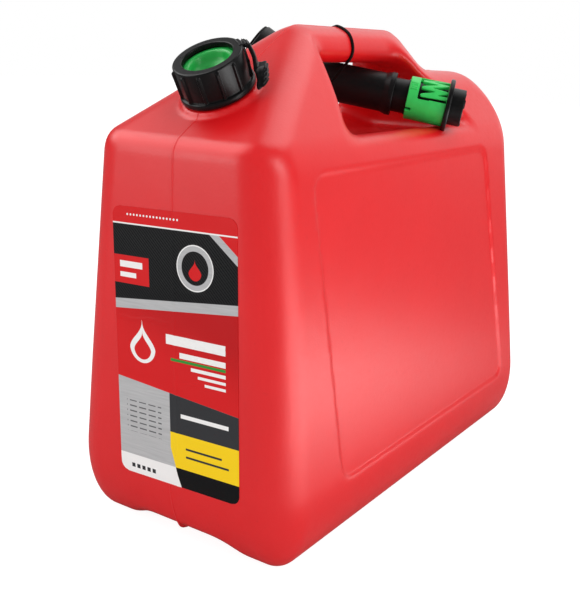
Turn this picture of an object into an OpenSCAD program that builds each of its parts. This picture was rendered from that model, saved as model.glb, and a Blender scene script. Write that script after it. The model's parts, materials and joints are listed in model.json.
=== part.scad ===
// Portable fuel can: a blow-moulded tank with a carrying handle, a screw collar with a stopper,
// and a self-closing pouring spout stowed under the handle.
// The front face looks along -Y, the long sides face +X and -X, and the can stands on Z = 0.

/* [Tank] */
// Overall length from front to rear
tank_len = 422; // [395:0.1:450]
// Width at the floor before the lower edges are rounded
tank_w = 211.3; // [200:0.1:225]
// Height to the top of the handle
tank_h = 373; // [360:1:390]
// Wall thickness of the moulded shell
wall = 2.6; // [2:0.1:3.5]
// Draft of each long side in degrees from upright
side_draft = 5.29; // [4:0.01:6]
// Slope of the roof sides in degrees from level
roof_angle = 52; // [49:1:55]
// Width of the level top between the roof sides
ridge_w = 23; // [18:1:28]
// Radius of the upright corners
corner_r = 30; // [15:1:32]
// Radius of the shoulder between each side and the roof
shoulder_r = 23; // [10:1:30]
// Radius of the edges along the top
ridge_r = 10; // [6:1:10]
// Height of the rounded lower edges
lower_round_h = 62; // [40:1:75]
// Depth of the rounded lower edges
lower_round_d = 30; // [18:1:34]
// Width of the raised channel under the tank
channel_w = 84; // [50:1:100]
// Height of the raised channel under the tank
channel_h = 7; // [4:0.5:10]

/* [Front and rear] */
// Drop from the top to the edge where the front face meets the sloping front
front_edge_drop = 80; // [73:1:88]
// Backward lean of the front face in degrees
front_lean = 0.36; // [0:0.01:1]
// Angle of the sloping front in degrees from level
slope_angle = 31.2; // [28:0.1:34]
// Radius of the edge between the front face and the slope
front_edge_r = 14; // [6:1:25]
// Drop from the top to the roof behind the handle
rear_roof_drop = 39; // [30:0.5:43]
// Inward lean of the rear face in degrees
rear_lean = 6.4; // [1:0.1:7.5]
// Radius of the edge between the rear face and the roof
rear_edge_r = 30; // [10:1:34]

/* [Handle] */
// Width of the handle
handle_w = 40; // [34:1:44]
// Thickness of the handle
handle_t = 27.7; // [24:0.1:30]
// Where the level top of the handle ends
handle_end_y = 82; // [70:0.1:90]
// Slope of the rear post in degrees from level
post_angle = 42; // [32:1:46]
// Radius of the bends along the top of the handle
handle_bend_r = 30; // [15:1:40]
// Where the front wall of the pocket meets the handle
pocket_front_y = -74.7; // [-80:0.1:-65]
// Where the rear wall of the pocket meets the handle
pocket_rear_y = 61.3; // [50:0.1:70]
// Drop from the top to the pocket floor
pocket_drop = 84; // [83:1:93]
// Outward flare of the front wall of the pocket in degrees
flare_front = 20; // [12:1:26]
// Outward flare of the front wall of the pocket near the sides in degrees
flare_side = 45; // [35:1:50]
// Where the front wall of the pocket turns to that greater flare
flare_x = 54; // [48:1:60]
// Outward flare of the rear wall of the pocket in degrees
flare_rear = 15; // [5:1:25]
// Lean of the rear wall of the pocket in degrees from level
pocket_lean = 48; // [44:1:56]

/* [Side panel] */
// Depth of the recessed panel on each long side
panel_depth = 1.6; // [0.8:0.1:2.4]
// Front end of the panel at its lower edge
panel_front_y = -136; // [-142:0.1:-120]
// Rear end of the panel at its lower edge
panel_rear_y = 162; // [150:0.1:166]
// Forward slant of the front end of the panel in degrees
front_slant = 7; // [0:0.5:8]
// Forward slant of the rear end of the panel in degrees
rear_slant = 11; // [0:0.5:13]
// Lower edge of the panel
panel_low_z = 55; // [50:1:70]
// Drop from the top to the upper edge of the panel
panel_drop = 97; // [95:1:130]
// Radius of the panel corners
panel_r = 13; // [8:1:24]

/* [Label] */
// Width of the stuck-on label
label_w = 109; // [90:1:125]
// Height of the stuck-on label
label_h = 197; // [170:1:205]
// Thickness of the stuck-on label
label_t = 0.4; // [0.2:0.1:1]
// Sideways place of the label
label_x = 4.2; // [-5:0.1:5]
// Lower edge of the label above the floor
label_low_z = 51.6; // [46:0.1:60]
// How far the label was stuck on askew in degrees
label_tilt = 2.4; // [0:0.05:3]
// Radius of the label corners
label_r = 7; // [3:1:12]

/* [Neck and collar] */
// Distance of the neck up the slope from its lower edge
neck_up = 57.6; // [50:0.1:64]
// Radius of the neck bore
neck_bore_r = 17; // [15:0.1:17.5]
// Wall thickness of the neck
neck_wall = 3.5; // [2.5:0.1:4]
// Height of the neck above the slope
neck_h = 22.8; // [20:0.1:26]
// Height of the round boss under the collar
boss_h = 3; // [1:0.1:3.5]
// Radius of the round boss under the collar
boss_r = 28; // [26.5:0.1:30]
// Thickness of the stopper gasket
gasket_t = 1.5; // [1:0.1:2.5]
// Thickness of the stopper rim
stopper_rim_t = 1.9; // [1.5:0.1:3]
// Depth of the dish in the stopper
dish_depth = 9; // [6:0.5:11]
// Thickness of the collar's inward top ring
collar_top_t = 3.5; // [2.5:0.1:4.5]
// Opening in the top of the collar
collar_hole_r = 18; // [17:0.1:18.5]
// Wall thickness of the collar skirt
collar_wall = 2.6; // [2:0.1:3.5]
// Number of grip rib places around the collar, of which the two beside the lever stay bare
rib_count = 14; // [10:1:18]
// Height of each grip rib off the collar
rib_h = 1.4; // [0.6:0.1:1.5]
// Width of each grip rib
rib_w = 2.4; // [1.5:0.1:3]
// Height of the rounded flange at the foot of the collar
collar_flange_h = 3.6; // [2.5:0.1:4.5]
// How far that flange stands out from the skirt
collar_flange_out = 2; // [1.2:0.1:2.5]
// Direction of the child lock lever around the neck in degrees
lever_turn = 22; // [10:1:40]
// Width of the lever arm
lever_w = 9; // [7:0.5:12]
// Width of the thumb pad
pad_w = 12; // [10:0.5:15]
// Reach of the thumb pad beyond the collar skirt
pad_reach = 13; // [12:0.5:15]

/* [Flame arrestor] */
// How deep the arrestor cage hangs below the slope
cage_depth = 40; // [30:1:50]
// Wall thickness of the cage
cage_wall = 1.2; // [1:0.1:1.5]
// Number of windows around the cage
window_count = 6; // [4:1:8]

/* [Spout] */
// Outer radius of the spout tube
tube_r = 16; // [15:0.1:16.5]
// Wall thickness of the spout tube
tube_wall = 1.9; // [1.6:0.1:2.2]
// Downward tilt of the stowed spout towards its tip in degrees
spout_dip = 9.1; // [7:0.1:10]
// Turn of the stowed spout from straight across in degrees
spout_yaw = 25; // [21:1:28]
// Where the spout crosses under the handle
spout_cross_y = 17.1; // [12:0.1:22]
// Free height between the spout tube and the handle
handle_gap = 2.6; // [2.4:0.1:4]
// Reach of the spout tube from the handle to the end of its lip
lip_reach = 34.5; // [33:0.1:38]
// Radius of the lip
lip_r = 17.6; // [17:0.1:18]
// Length of the lip
lip_len = 4; // [3:0.1:6]
// Distance from the handle back to the bend
bend_reach = 61.5; // [56:0.1:66]
// Angle of the bend
bend_angle = 24; // [18:1:30]
// Length of the base from the bend to its open end
base_len = 30; // [27:0.5:33]
// Outer radius of the cup at the base
cup_r = 22.5; // [21:0.1:25]
// Length of the cup at the base
cup_len = 12; // [9:0.5:13]
// Wall thickness of the cup at the base
cup_wall = 3; // [2:0.1:4]
// Thickness of the base seal
base_seal_t = 1.6; // [1:0.1:2.5]

/* [Nozzle] */
// Outer radius of the sliding nozzle tube
nozzle_r = 13.8; // [13:0.1:13.8]
// Wall thickness of the nozzle tube
nozzle_wall = 2.1; // [1.6:0.1:2.4]
// How far the nozzle is pushed in to open the valve
nozzle_travel = 8; // [5:0.5:9]
// Length of nozzle tube that shows between the lip and the lock ring
nozzle_show = 12; // [9.5:0.1:13]
// Length of the lock ring
ring_len = 32; // [28:0.5:34]
// Outer radius of the lock ring
ring_r = 17.7; // [17:0.1:18]
// Radius of the flange that catches the rim of a filler
catch_r = 21.5; // [20:0.1:23]
// Thickness of that flange
catch_t = 3.5; // [2.5:0.1:4.5]
// Radius of the nozzle tip
tip_r = 15; // [14.7:0.1:15.5]
// Length of the nozzle tip
tip_len = 10.5; // [9.5:0.1:13]
// Radius of the valve stem
stem_r = 2.5; // [2:0.1:3]
// Outer radius of the valve head
head_r = 10.2; // [9.6:0.1:10.6]
// Wire thickness of the return spring
spring_wire = 1.6; // [1.2:0.1:2]
// Number of turns in the return spring
spring_turns = 9; // [6:1:10]
// Outer radius of the vent tube
vent_r = 3; // [2.5:0.1:3.5]

/* [Retaining band] */
// Thickness of the rubber band around the handle and the spout
band_t = 2.2; // [1.5:0.1:3]
// Where the band lies on the near side of the handle
band_y = -20.7; // [-26:0.1:-16]

/* [Fits] */
// Gap between parts that slide or turn on each other
slide_gap = 0.3; // [0.2:0.05:0.4]
// Gap of a running seal
seal_gap = 0.08; // [0.03:0.01:0.1]
// Gap between parts that are seated and stay put
seat_gap = 0.05; // [0.02:0.01:0.1]

/* [Hidden] */
$fn = 64;

tank_red = "#d4222a";
gloss_black = "#1a1a1b";
dark_rubber = "#262626";
lock_green = "#1fae4b";
steel = "#b5b8bc";
label_grey = "#c9c9cb";

// Steps in each rounded corner of an outline
arc_steps = 6;
// Cutting bodies reach this far past what they cut
past = 200;

// Heights that follow the top of the tank
front_edge_z = tank_h - front_edge_drop;
rear_roof_z = tank_h - rear_roof_drop;
pocket_floor_z = tank_h - pocket_drop;
panel_high_z = tank_h - panel_drop;

// Side face, front face and rear face at a height
function side_x(z) = tank_w / 2 - z * tan(side_draft);
function front_y(z) = -tank_len / 2 + (z - lower_round_h) * tan(front_lean);
function rear_y(z) = tank_len / 2 + (lower_round_h - z) * tan(rear_lean);

// Points of outlines: a corner is [x, y, radius], and a radius of 0 stays sharp
function unit(v) = v / norm(v);
function flat(p) = [p.x, p.y];
function fillet(a, p, b) =
    let (u = unit(flat(a) - flat(p)))
    let (v = unit(flat(b) - flat(p)))
    let (half = acos(max(-1, min(1, u * v))) / 2)
    let (centre = flat(p) + unit(u + v) * p.z / sin(half))
    let (from = flat(p) + u * p.z / tan(half) - centre)
    let (to = flat(p) + v * p.z / tan(half) - centre)
    let (start = atan2(from.y, from.x))
    let (turn = atan2(from.x * to.y - from.y * to.x, from * to))
    [for (i = [0:arc_steps])
        let (at = start + turn * i / arc_steps)
        centre + p.z * [cos(at), sin(at)]];
function rounded(corners) =
    let (n = len(corners))
    [for (i = [0:n - 1])
        let (p = corners[i])
        each p.z == 0 ? [flat(p)] : fillet(corners[(i + n - 1) % n], p, corners[(i + 1) % n])];
function inward(a, b) = let (d = unit(b - a)) [-d.y, d.x];
function inset(points, depth) =
    let (n = len(points))
    [for (i = [0:n - 1])
        let (a = inward(points[(i + n - 1) % n], points[i]))
        let (b = inward(points[i], points[(i + 1) % n]))
        points[i] + depth * (a + b) / (1 + a * b)];
function box_outline(x0, y0, x1, y1, r) = rounded([[x0, y0, r], [x1, y0, r], [x1, y1, r], [x0, y1, r]]);

// Quarter of the rounded lower edge, from the floor up to the wall at wall_at
function lower_edge(wall_at, side) =
    [for (i = [0:arc_steps])
        let (t = 90 * i / arc_steps)
        [wall_at - side * lower_round_d * (1 - sin(t)), lower_round_h * (1 - cos(t)), 0]];

// Outline of the can from the side, in Y and Z
slope_end_y = front_y(front_edge_z) + (tank_h - front_edge_z) / tan(slope_angle);
post_end_y = handle_end_y + (tank_h - rear_roof_z) / tan(post_angle);
rear_edge = lower_edge(rear_y(lower_round_h), 1);
front_edge = lower_edge(front_y(lower_round_h), -1);
side_outline = rounded(concat(
    rear_edge,
    [[rear_y(rear_roof_z), rear_roof_z, rear_edge_r],
     [post_end_y, rear_roof_z, handle_bend_r],
     [handle_end_y, tank_h, handle_bend_r],
     [slope_end_y, tank_h, handle_bend_r],
     [front_y(front_edge_z), front_edge_z, front_edge_r]],
    [for (i = [arc_steps:-1:0]) front_edge[i]]));

// Outline of the can from the front, in X and Z
roof_rise = tan(roof_angle);
shoulder_z = (tank_w / 2 - ridge_w / 2 - tank_h / roof_rise) / (tan(side_draft) - 1 / roof_rise);
right_half = concat(
    [[channel_w / 2 - 2 * channel_h, channel_h, 0], [channel_w / 2, 0, 0]],
    lower_edge(side_x(lower_round_h), 1),
    [[side_x(shoulder_z), shoulder_z, shoulder_r], [ridge_w / 2, tank_h, ridge_r]]);
left_half = [for (i = [len(right_half) - 1:-1:0]) [-right_half[i].x, right_half[i].y, right_half[i].z]];
front_outline = rounded(concat(right_half, left_half));

// Rings of the can seen from above, which round its upright corners from the floor to the top
ring_over = 0.5;
function lower_inset(z) =
    let (up = min(max(z / lower_round_h, 0), 1))
    lower_round_d * (1 - sqrt(1 - pow(1 - up, 2)));
function plan_ring(z, depth) =
    let (move = lower_inset(z) + depth - ring_over)
    let (half = side_x(z) - move)
    [for (p = box_outline(-half, front_y(z) + move, half, rear_y(z) - move, corner_r - depth)) [p.x, p.y, z]];
module corner_loft(depth) {
    levels = concat([-1], [for (p = lower_edge(0, 1)) p.y], [tank_h + 1]);
    count = 4 * (arc_steps + 1);
    top = count * (len(levels) - 1);
    walls = [for (i = [0:len(levels) - 2]) for (j = [0:count - 1])
        let (a = i * count + j)
        let (b = i * count + (j + 1) % count)
        each [[a, a + count, b + count], [a, b + count, b]]];
    polyhedron(points = [for (z = levels) each plan_ring(z, depth)],
               faces = concat(walls, [[for (j = [0:count - 1]) j], [for (j = [count - 1:-1:0]) top + j]]));
}

// The whole closed form of the can, before the handle pocket is cut, with its faces moved in by depth
module tank_form(depth) {
    intersection() {
        corner_loft(depth);
        rotate([90, 0, 90])
            linear_extrude(tank_w + past, center = true)
                polygon(inset(side_outline, depth));
        rotate([90, 0, 0])
            linear_extrude(tank_len + past, center = true)
                polygon(inset(front_outline, depth));
    }
}

// Pocket under and beside the handle, with its walls moved out by depth
handle_low_z = tank_h - handle_t;
handle_corner_r = 9;
pocket_r = 14;
module pocket(depth) {
    half = handle_w / 2 - depth;
    out_x = tank_w / 2 + past;
    front_in = pocket_front_y - depth / cos(flare_front);
    front_mid = front_in - (flare_x - half) * tan(flare_front);
    front_out = front_mid - (out_x - flare_x) * tan(flare_side);
    rear_run = (handle_low_z - pocket_floor_z) / tan(pocket_lean);
    rear_in = pocket_rear_y + rear_run + depth / cos(flare_rear);
    rear_out = rear_in + (out_x - half) * tan(flare_rear);
    floor_z = pocket_floor_z - depth;
    wall_foot = pocket_rear_y + rear_run + depth / sin(pocket_lean) + depth / tan(pocket_lean);
    wall_top = tank_h + past;
    wall_head = wall_foot - (wall_top - floor_z) / tan(pocket_lean);
    far_front = front_out - past;
    difference() {
        intersection() {
            linear_extrude(wall_top)
                polygon([[half, front_in], [flare_x, front_mid], [out_x, front_out],
                         [out_x, rear_out], [half, rear_in], [-half, rear_in], [-out_x, rear_out],
                         [-out_x, front_out], [-flare_x, front_mid], [-half, front_in]]);
            rotate([90, 0, 90])
                linear_extrude(2 * out_x, center = true)
                    polygon(rounded([[far_front, floor_z, 0], [wall_foot, floor_z, pocket_r],
                                     [wall_head, wall_top, 0], [far_front, wall_top, 0]]));
        }
        rotate([90, 0, 0])
            linear_extrude(2 * tank_len, center = true)
                polygon(box_outline(-half, handle_low_z + depth, half, wall_top, handle_corner_r - depth));
    }
}

// Recessed panel on the side that faces +X, from its floor outwards, grown by margin on every edge
panel_mid_z = (panel_low_z + panel_high_z) / 2;
module panel(margin) {
    half = (panel_high_z - panel_low_z) / 2 / cos(side_draft) + margin;
    front_low = panel_front_y - margin;
    rear_low = panel_rear_y + margin;
    front_high = front_low - 2 * half * tan(front_slant);
    rear_high = rear_low - 2 * half * tan(rear_slant);
    translate([side_x(panel_mid_z), 0, panel_mid_z])
        rotate([0, 90 - side_draft, 0])
            translate([0, 0, -panel_depth - margin])
                linear_extrude(past)
                    polygon(rounded([[-half, front_high, panel_r], [half, front_low, panel_r],
                                     [half, rear_low, panel_r], [-half, rear_high, panel_r]]));
}

// Frame of the neck: its Z axis stands square to the sloping front
neck_base = [0, front_y(front_edge_z) + neck_up * cos(slope_angle), front_edge_z + neck_up * sin(slope_angle)];
module on_neck(h) {
    translate(neck_base)
        rotate([slope_angle, 0, 0])
            translate([0, 0, h])
                children();
}
neck_r = neck_bore_r + neck_wall;
neck_root = 2 * wall;

module tank_body() {
    color(tank_red)
        difference() {
            union() {
                difference() {
                    tank_form(0);
                    pocket(0);
                    panel(0);
                    mirror([1, 0, 0])
                        panel(0);
                    difference() {
                        tank_form(wall);
                        pocket(wall);
                        panel(wall);
                        mirror([1, 0, 0])
                            panel(wall);
                    }
                }
                on_neck(-neck_root)
                    cylinder(r = neck_r, h = neck_root + neck_h);
                on_neck(-wall)
                    cylinder(r = boss_r, h = wall + boss_h);
            }
            on_neck(-2 * neck_root)
                cylinder(r = neck_bore_r, h = 2 * neck_root + neck_h + 1);
        }
}

// Glue under the label
glue_t = 0.02;

module front_label() {
    mid_z = label_low_z + label_h / 2;
    color(label_grey)
        translate([label_x, front_y(mid_z) - glue_t, mid_z])
            rotate([90 - front_lean, 0, 0])
                rotate([0, 0, label_tilt])
                    linear_extrude(label_t)
                        polygon(box_outline(-label_w / 2, -label_h / 2, label_w / 2, label_h / 2, label_r));
}

// Heights along the neck
gasket_z = neck_h;
stopper_z = gasket_z + gasket_t;
collar_under_z = stopper_z + stopper_rim_t + slide_gap;
collar_top_z = collar_under_z + collar_top_t;
collar_low_z = boss_h + 1;
thread_room = 1.5;
collar_in_r = neck_r + thread_room;
collar_r = collar_in_r + collar_wall;
dish_wall = 1.8;
plug_r = neck_bore_r - slide_gap;
dish_low_z = stopper_z + stopper_rim_t - dish_depth - dish_wall;

module stopper_gasket() {
    color(dark_rubber)
        on_neck(gasket_z)
            difference() {
                cylinder(r = neck_r, h = gasket_t);
                translate([0, 0, -1])
                    cylinder(r = plug_r + seat_gap, h = gasket_t + 2);
            }
}

module stopper_disc() {
    rim_z = stopper_z + stopper_rim_t;
    lip_out_r = collar_hole_r - slide_gap;
    color(lock_green)
        on_neck(0)
            rotate_extrude()
                polygon([[0, dish_low_z], [plug_r - 2 * dish_wall, dish_low_z],
                         [plug_r, dish_low_z + 2 * dish_wall],
                         [plug_r, stopper_z], [neck_r, stopper_z], [neck_r, rim_z],
                         [lip_out_r, rim_z], [lip_out_r, rim_z + dish_wall],
                         [plug_r - dish_wall, rim_z + dish_wall],
                         [plug_r - 3 * dish_wall, dish_low_z + dish_wall], [0, dish_low_z + dish_wall]]);
}

collar_edge_r = 1;
module collar() {
    rib_z = collar_low_z + collar_flange_h;
    flange_r = collar_r + collar_flange_out;
    rib_root = collar_wall / 2;
    color(gloss_black)
        on_neck(0)
            union() {
                rotate_extrude()
                    polygon(rounded([[collar_in_r, collar_low_z, 0],
                                     [flange_r, collar_low_z, collar_flange_h / 3],
                                     [flange_r, rib_z, collar_flange_h / 3],
                                     [collar_r, rib_z, 0],
                                     [collar_r, collar_top_z, collar_edge_r],
                                     [collar_hole_r, collar_top_z, collar_edge_r],
                                     [collar_hole_r, collar_under_z, 0],
                                     [collar_in_r, collar_under_z, 0]]));
                for (i = [1:rib_count - 2])
                    rotate([0, 0, lever_turn + 360 / rib_count * (i + 0.5)])
                        translate([collar_r - rib_root, -rib_w / 2, rib_z - collar_edge_r])
                            cube([rib_root + rib_h, rib_w, collar_top_z - rib_z - collar_edge_r]);
            }
}

// Side outline of the lever: reach from the neck axis, height above the slope
lever_root_r = collar_r + slide_gap;
lever_t = 3;
root_r = 2;
lever_bend_r = 4;
pad_out_r = collar_r + pad_reach;
pad_low_z = boss_h + 2;
pad_h = 11;
pad_face_h = 6;
module lock_lever() {
    arm_r = pad_out_r - lever_t;
    arm_in_r = arm_r - lever_t;
    root_at = lever_root_r + root_r;
    root_z = collar_top_z - 2 * root_r;
    pad_z = pad_low_z + pad_h;
    color(gloss_black)
        on_neck(0)
            rotate([0, 0, lever_turn])
                rotate([90, 0, 0])
                    union() {
                        translate([root_at, collar_top_z - root_r, 0])
                            cylinder(r = root_r, h = lever_w, center = true);
                        linear_extrude(lever_w, center = true)
                            polygon(rounded([[root_at, collar_top_z, 0],
                                             [root_at, root_z, 0],
                                             [arm_in_r, root_z, lever_bend_r],
                                             [arm_in_r, pad_z - 1, 0],
                                             [arm_r, pad_z - 1, 0],
                                             [arm_r, collar_top_z, lever_bend_r + 2]]));
                        linear_extrude(pad_w, center = true)
                            polygon(rounded([[arm_in_r, pad_z + 1, 0],
                                             [arm_r - 1, pad_low_z, 1],
                                             [pad_out_r, pad_z + 1 - pad_face_h, lever_t],
                                             [pad_out_r, pad_z + 1, 2],
                                             [arm_r, pad_z + 2, 0]]));
                    }
}

// Flame arrestor in the neck
cage_top_z = dish_low_z - 1;
cage_flange_h = 4;
cage_room = 1.5;
cage_r = neck_bore_r - cage_room;
window_rows = 3;
window_gap = 4;
module arrestor_cage() {
    window_h = (cage_depth + cage_top_z - cage_flange_h - window_gap) / window_rows - window_gap;
    window_w = 2 * cage_r / window_count;
    row_step = window_h + window_gap;
    color(gloss_black)
        on_neck(0)
            difference() {
                union() {
                    translate([0, 0, -cage_depth])
                        cylinder(r = cage_r, h = cage_depth + cage_top_z);
                    translate([0, 0, cage_top_z - cage_flange_h])
                        cylinder(r = neck_bore_r - seat_gap, h = cage_flange_h);
                }
                translate([0, 0, cage_wall - cage_depth])
                    cylinder(r = cage_r - cage_wall, h = cage_depth + cage_top_z);
                for (row = [0:window_rows - 1])
                    for (i = [0:window_count - 1])
                        rotate([0, 0, 360 / window_count * (i + row / 2)])
                            translate([0, -window_w / 2, window_gap - cage_depth + row * row_step])
                                cube([2 * cage_r, window_w, window_h]);
            }
}

screen_t = 0.5;
screen_rim = 2;
module arrestor_screen() {
    screen_r = cage_r - cage_wall - seat_gap;
    screen_z = cage_wall - cage_depth;
    color(steel)
        on_neck(screen_z)
            difference() {
                cylinder(r = screen_r, h = cage_top_z - screen_z - screen_rim);
                translate([0, 0, -1])
                    cylinder(r = screen_r - screen_t, h = cage_top_z - screen_z);
            }
}

// Frame of the stowed spout: its Z axis runs along the tube to the tip, and -X points up
spout_cross = [0, spout_cross_y, handle_low_z - handle_gap - tube_r / cos(spout_dip)];
module on_spout(z) {
    translate(spout_cross)
        rotate([0, 90 + spout_dip, spout_yaw])
            translate([0, 0, z])
                children();
}
// Frame of the bent base: its Z axis points along the base to the bend
module on_base(z) {
    on_spout(-bend_reach)
        rotate([0, bend_angle, 0])
            translate([0, 0, z])
                children();
}
bore_r = tube_r - tube_wall;
// The bend is a ball that stands a little proud of the tube
ball_proud = 0.6;
cone_len = 11;

module spout_body() {
    flare_z = lip_reach - lip_len;
    flare_len = 2 * (lip_r - tube_r);
    color(gloss_black)
        difference() {
            union() {
                on_spout(-bend_reach)
                    cylinder(r = tube_r, h = bend_reach + flare_z);
                on_spout(flare_z - flare_len)
                    cylinder(r1 = tube_r, r2 = lip_r, h = flare_len);
                on_spout(flare_z)
                    cylinder(r = lip_r, h = lip_len);
                on_spout(-bend_reach)
                    sphere(r = tube_r + ball_proud);
                on_base(-base_len)
                    rotate_extrude()
                        polygon([[0, 0], [cup_r, 0], [cup_r, cup_len], [tube_r, cup_len + cone_len],
                                 [tube_r, base_len], [0, base_len]]);
            }
            on_spout(-bend_reach)
                cylinder(r = bore_r, h = past);
            on_spout(-bend_reach)
                sphere(r = bore_r + ball_proud / 2);
            on_base(-base_len)
                rotate_extrude()
                    polygon([[0, -1], [cup_r - cup_wall, -1], [cup_r - cup_wall, cup_len],
                             [bore_r, cup_len + cone_len], [bore_r, base_len], [0, base_len]]);
        }
}

module base_seal() {
    color(dark_rubber)
        on_base(-base_len - base_seal_t)
            difference() {
                cylinder(r = cup_r - cup_wall / 3, h = base_seal_t);
                translate([0, 0, -1])
                    cylinder(r = cup_r - cup_wall, h = base_seal_t + 2);
            }
}

// Stations along the spout
nozzle_held = 22;
nozzle_in_z = lip_reach - nozzle_held;
spider_len = 5;
spider_clear = 2;
spider_z = nozzle_in_z - nozzle_travel - spider_len - spider_clear;
ring_z = lip_reach + nozzle_show;
catch_z = ring_z + ring_len + slide_gap;
tip_z = catch_z + catch_t;
tip_end_z = tip_z + tip_len;
seat_ring_h = 3;
head_z = tip_z + seat_ring_h + 2 * seal_gap;
head_h = 4;
vent_off = bore_r - vent_r - 2;
vent_clear = 12;
spider_wall = 1.8;
arm_w = 2;
hub_r = stem_r + arm_w;

module stem_spider() {
    color(gloss_black)
        on_spout(spider_z)
            difference() {
                union() {
                    difference() {
                        cylinder(r = bore_r - seat_gap, h = spider_len);
                        translate([0, 0, -1])
                            cylinder(r = bore_r - spider_wall, h = spider_len + 2);
                    }
                    cylinder(r = hub_r, h = spider_len);
                    for (i = [0:2])
                        rotate([0, 0, 60 + 120 * i])
                            translate([0, -arm_w / 2, 0])
                                cube([bore_r - spider_wall / 2, arm_w, spider_len]);
                    translate([vent_off, 0, 0])
                        cylinder(r = vent_r + spider_wall, h = spider_len);
                }
                translate([0, 0, -1])
                    cylinder(r = stem_r + seat_gap, h = spider_len + 2);
                translate([vent_off, 0, -1])
                    cylinder(r = vent_r + seat_gap, h = spider_len + 2);
            }
}

vent_wall = 1;
module vent_tube() {
    vent_start = vent_clear - bend_reach;
    color(gloss_black)
        on_spout(vent_start)
            translate([vent_off, 0, 0])
                difference() {
                    cylinder(r = vent_r, h = spider_z + spider_len - vent_start);
                    translate([0, 0, -1])
                        cylinder(r = vent_r - vent_wall, h = past);
                }
}

module valve_stem() {
    color(gloss_black)
        on_spout(spider_z)
            cylinder(r = stem_r, h = head_z + head_h / 2 - spider_z);
}

valve_seal_w = 1.6;
module valve_head() {
    notch_r = head_r - valve_seal_w;
    color(gloss_black)
        on_spout(head_z)
            difference() {
                rotate_extrude()
                    polygon([[0, 0], [notch_r, 0], [notch_r, valve_seal_w], [head_r, valve_seal_w],
                             [head_r, head_h - 1], [head_r - 1, head_h], [0, head_h]]);
                translate([0, 0, -1])
                    cylinder(r = stem_r + seat_gap, h = head_h / 2 + 1);
            }
}

module valve_seal() {
    color(dark_rubber)
        on_spout(head_z)
            difference() {
                cylinder(r = head_r, h = valve_seal_w - seat_gap);
                translate([0, 0, -1])
                    cylinder(r = head_r - valve_seal_w + seat_gap, h = 2 * head_h);
            }
}

// The nozzle tube slides in the spout; a groove near its inner end holds the seal,
// an inner ring takes the spring, and a bead outside keeps the lock ring in place
groove_at = 3;
groove_z = nozzle_in_z + groove_at;
groove_w = 2.2;
groove_d = 1.2;
bead_h = 0.8;
bead_w = 1;
shoulder_w = 2;
shoulder_at = ring_z - 2 * shoulder_w;
seat_w = 2;
seat_bore_r = head_r - seat_w;
nozzle_bore_r = nozzle_r - nozzle_wall;
spring_r = nozzle_bore_r - spring_wire / 2 - 1;
module nozzle_tube() {
    color(gloss_black)
        on_spout(0)
            difference() {
                union() {
                    translate([0, 0, nozzle_in_z])
                        cylinder(r = nozzle_r, h = tip_z - nozzle_in_z);
                    translate([0, 0, ring_z - slide_gap - bead_w])
                        cylinder(r = nozzle_r + bead_h, h = bead_w);
                }
                translate([0, 0, nozzle_in_z - 1])
                    cylinder(r = nozzle_bore_r, h = shoulder_at - nozzle_in_z + 1);
                translate([0, 0, shoulder_at - 1])
                    cylinder(r = seat_bore_r, h = shoulder_w + 2);
                translate([0, 0, shoulder_at + shoulder_w])
                    cylinder(r = nozzle_bore_r, h = past);
                translate([0, 0, groove_z])
                    difference() {
                        cylinder(r = nozzle_r + 1, h = groove_w);
                        translate([0, 0, -1])
                            cylinder(r = nozzle_r - groove_d, h = groove_w + 2);
                    }
            }
}

module nozzle_seal() {
    seal_out = bore_r - seal_gap;
    seal_in = nozzle_r - groove_d + seat_gap;
    color(dark_rubber)
        on_spout(groove_z + seat_gap)
            difference() {
                cylinder(r = seal_out, h = groove_w - 2 * seat_gap);
                translate([0, 0, -1])
                    cylinder(r = seal_in, h = groove_w + 2);
            }
}

module catch_flange() {
    color(gloss_black)
        on_spout(catch_z)
            difference() {
                cylinder(r = catch_r, h = catch_t);
                translate([0, 0, -1])
                    cylinder(r = nozzle_r + seat_gap, h = catch_t + 2);
            }
}

module nozzle_tip() {
    color(gloss_black)
        on_spout(tip_z)
            difference() {
                cylinder(r = tip_r, h = tip_len);
                translate([0, 0, -1])
                    cylinder(r = seat_bore_r, h = past);
                translate([0, 0, seat_ring_h])
                    cylinder(r = head_r + 1, h = past);
            }
}

// Return spring between the spider and the ring inside the nozzle tube, one unbroken round wire
spring_z0 = spider_z + spider_len + spring_wire / 2 + seat_gap;
spring_z1 = shoulder_at - spring_wire / 2 - seat_gap;
spring_rings = 8 * spring_turns;
spring_sides = 6;
function spring_point(i, j) =
    let (turn = 360 * spring_turns * i / spring_rings)
    let (around = 360 * j / spring_sides)
    let (reach = spring_r + spring_wire / 2 * cos(around))
    [reach * cos(turn), reach * sin(turn),
     spring_z0 + (spring_z1 - spring_z0) * i / spring_rings + spring_wire / 2 * sin(around)];
echo(str("return spring least gap to itself ", (spring_z1 - spring_z0) / spring_turns - spring_wire, " mm"));
module return_spring() {
    points = [for (i = [0:spring_rings]) for (j = [0:spring_sides - 1]) spring_point(i, j)];
    last = spring_rings * spring_sides;
    walls = [for (i = [0:spring_rings - 1]) for (j = [0:spring_sides - 1])
        let (a = i * spring_sides + j)
        let (b = i * spring_sides + (j + 1) % spring_sides)
        each [[a, b, b + spring_sides], [a, b + spring_sides, a + spring_sides]]];
    ends = [for (j = [1:spring_sides - 2]) each [[0, j + 1, j], [last, last + j, last + j + 1]]];
    color(steel)
        on_spout(0)
            polyhedron(points = points, faces = concat(walls, ends));
}

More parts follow.
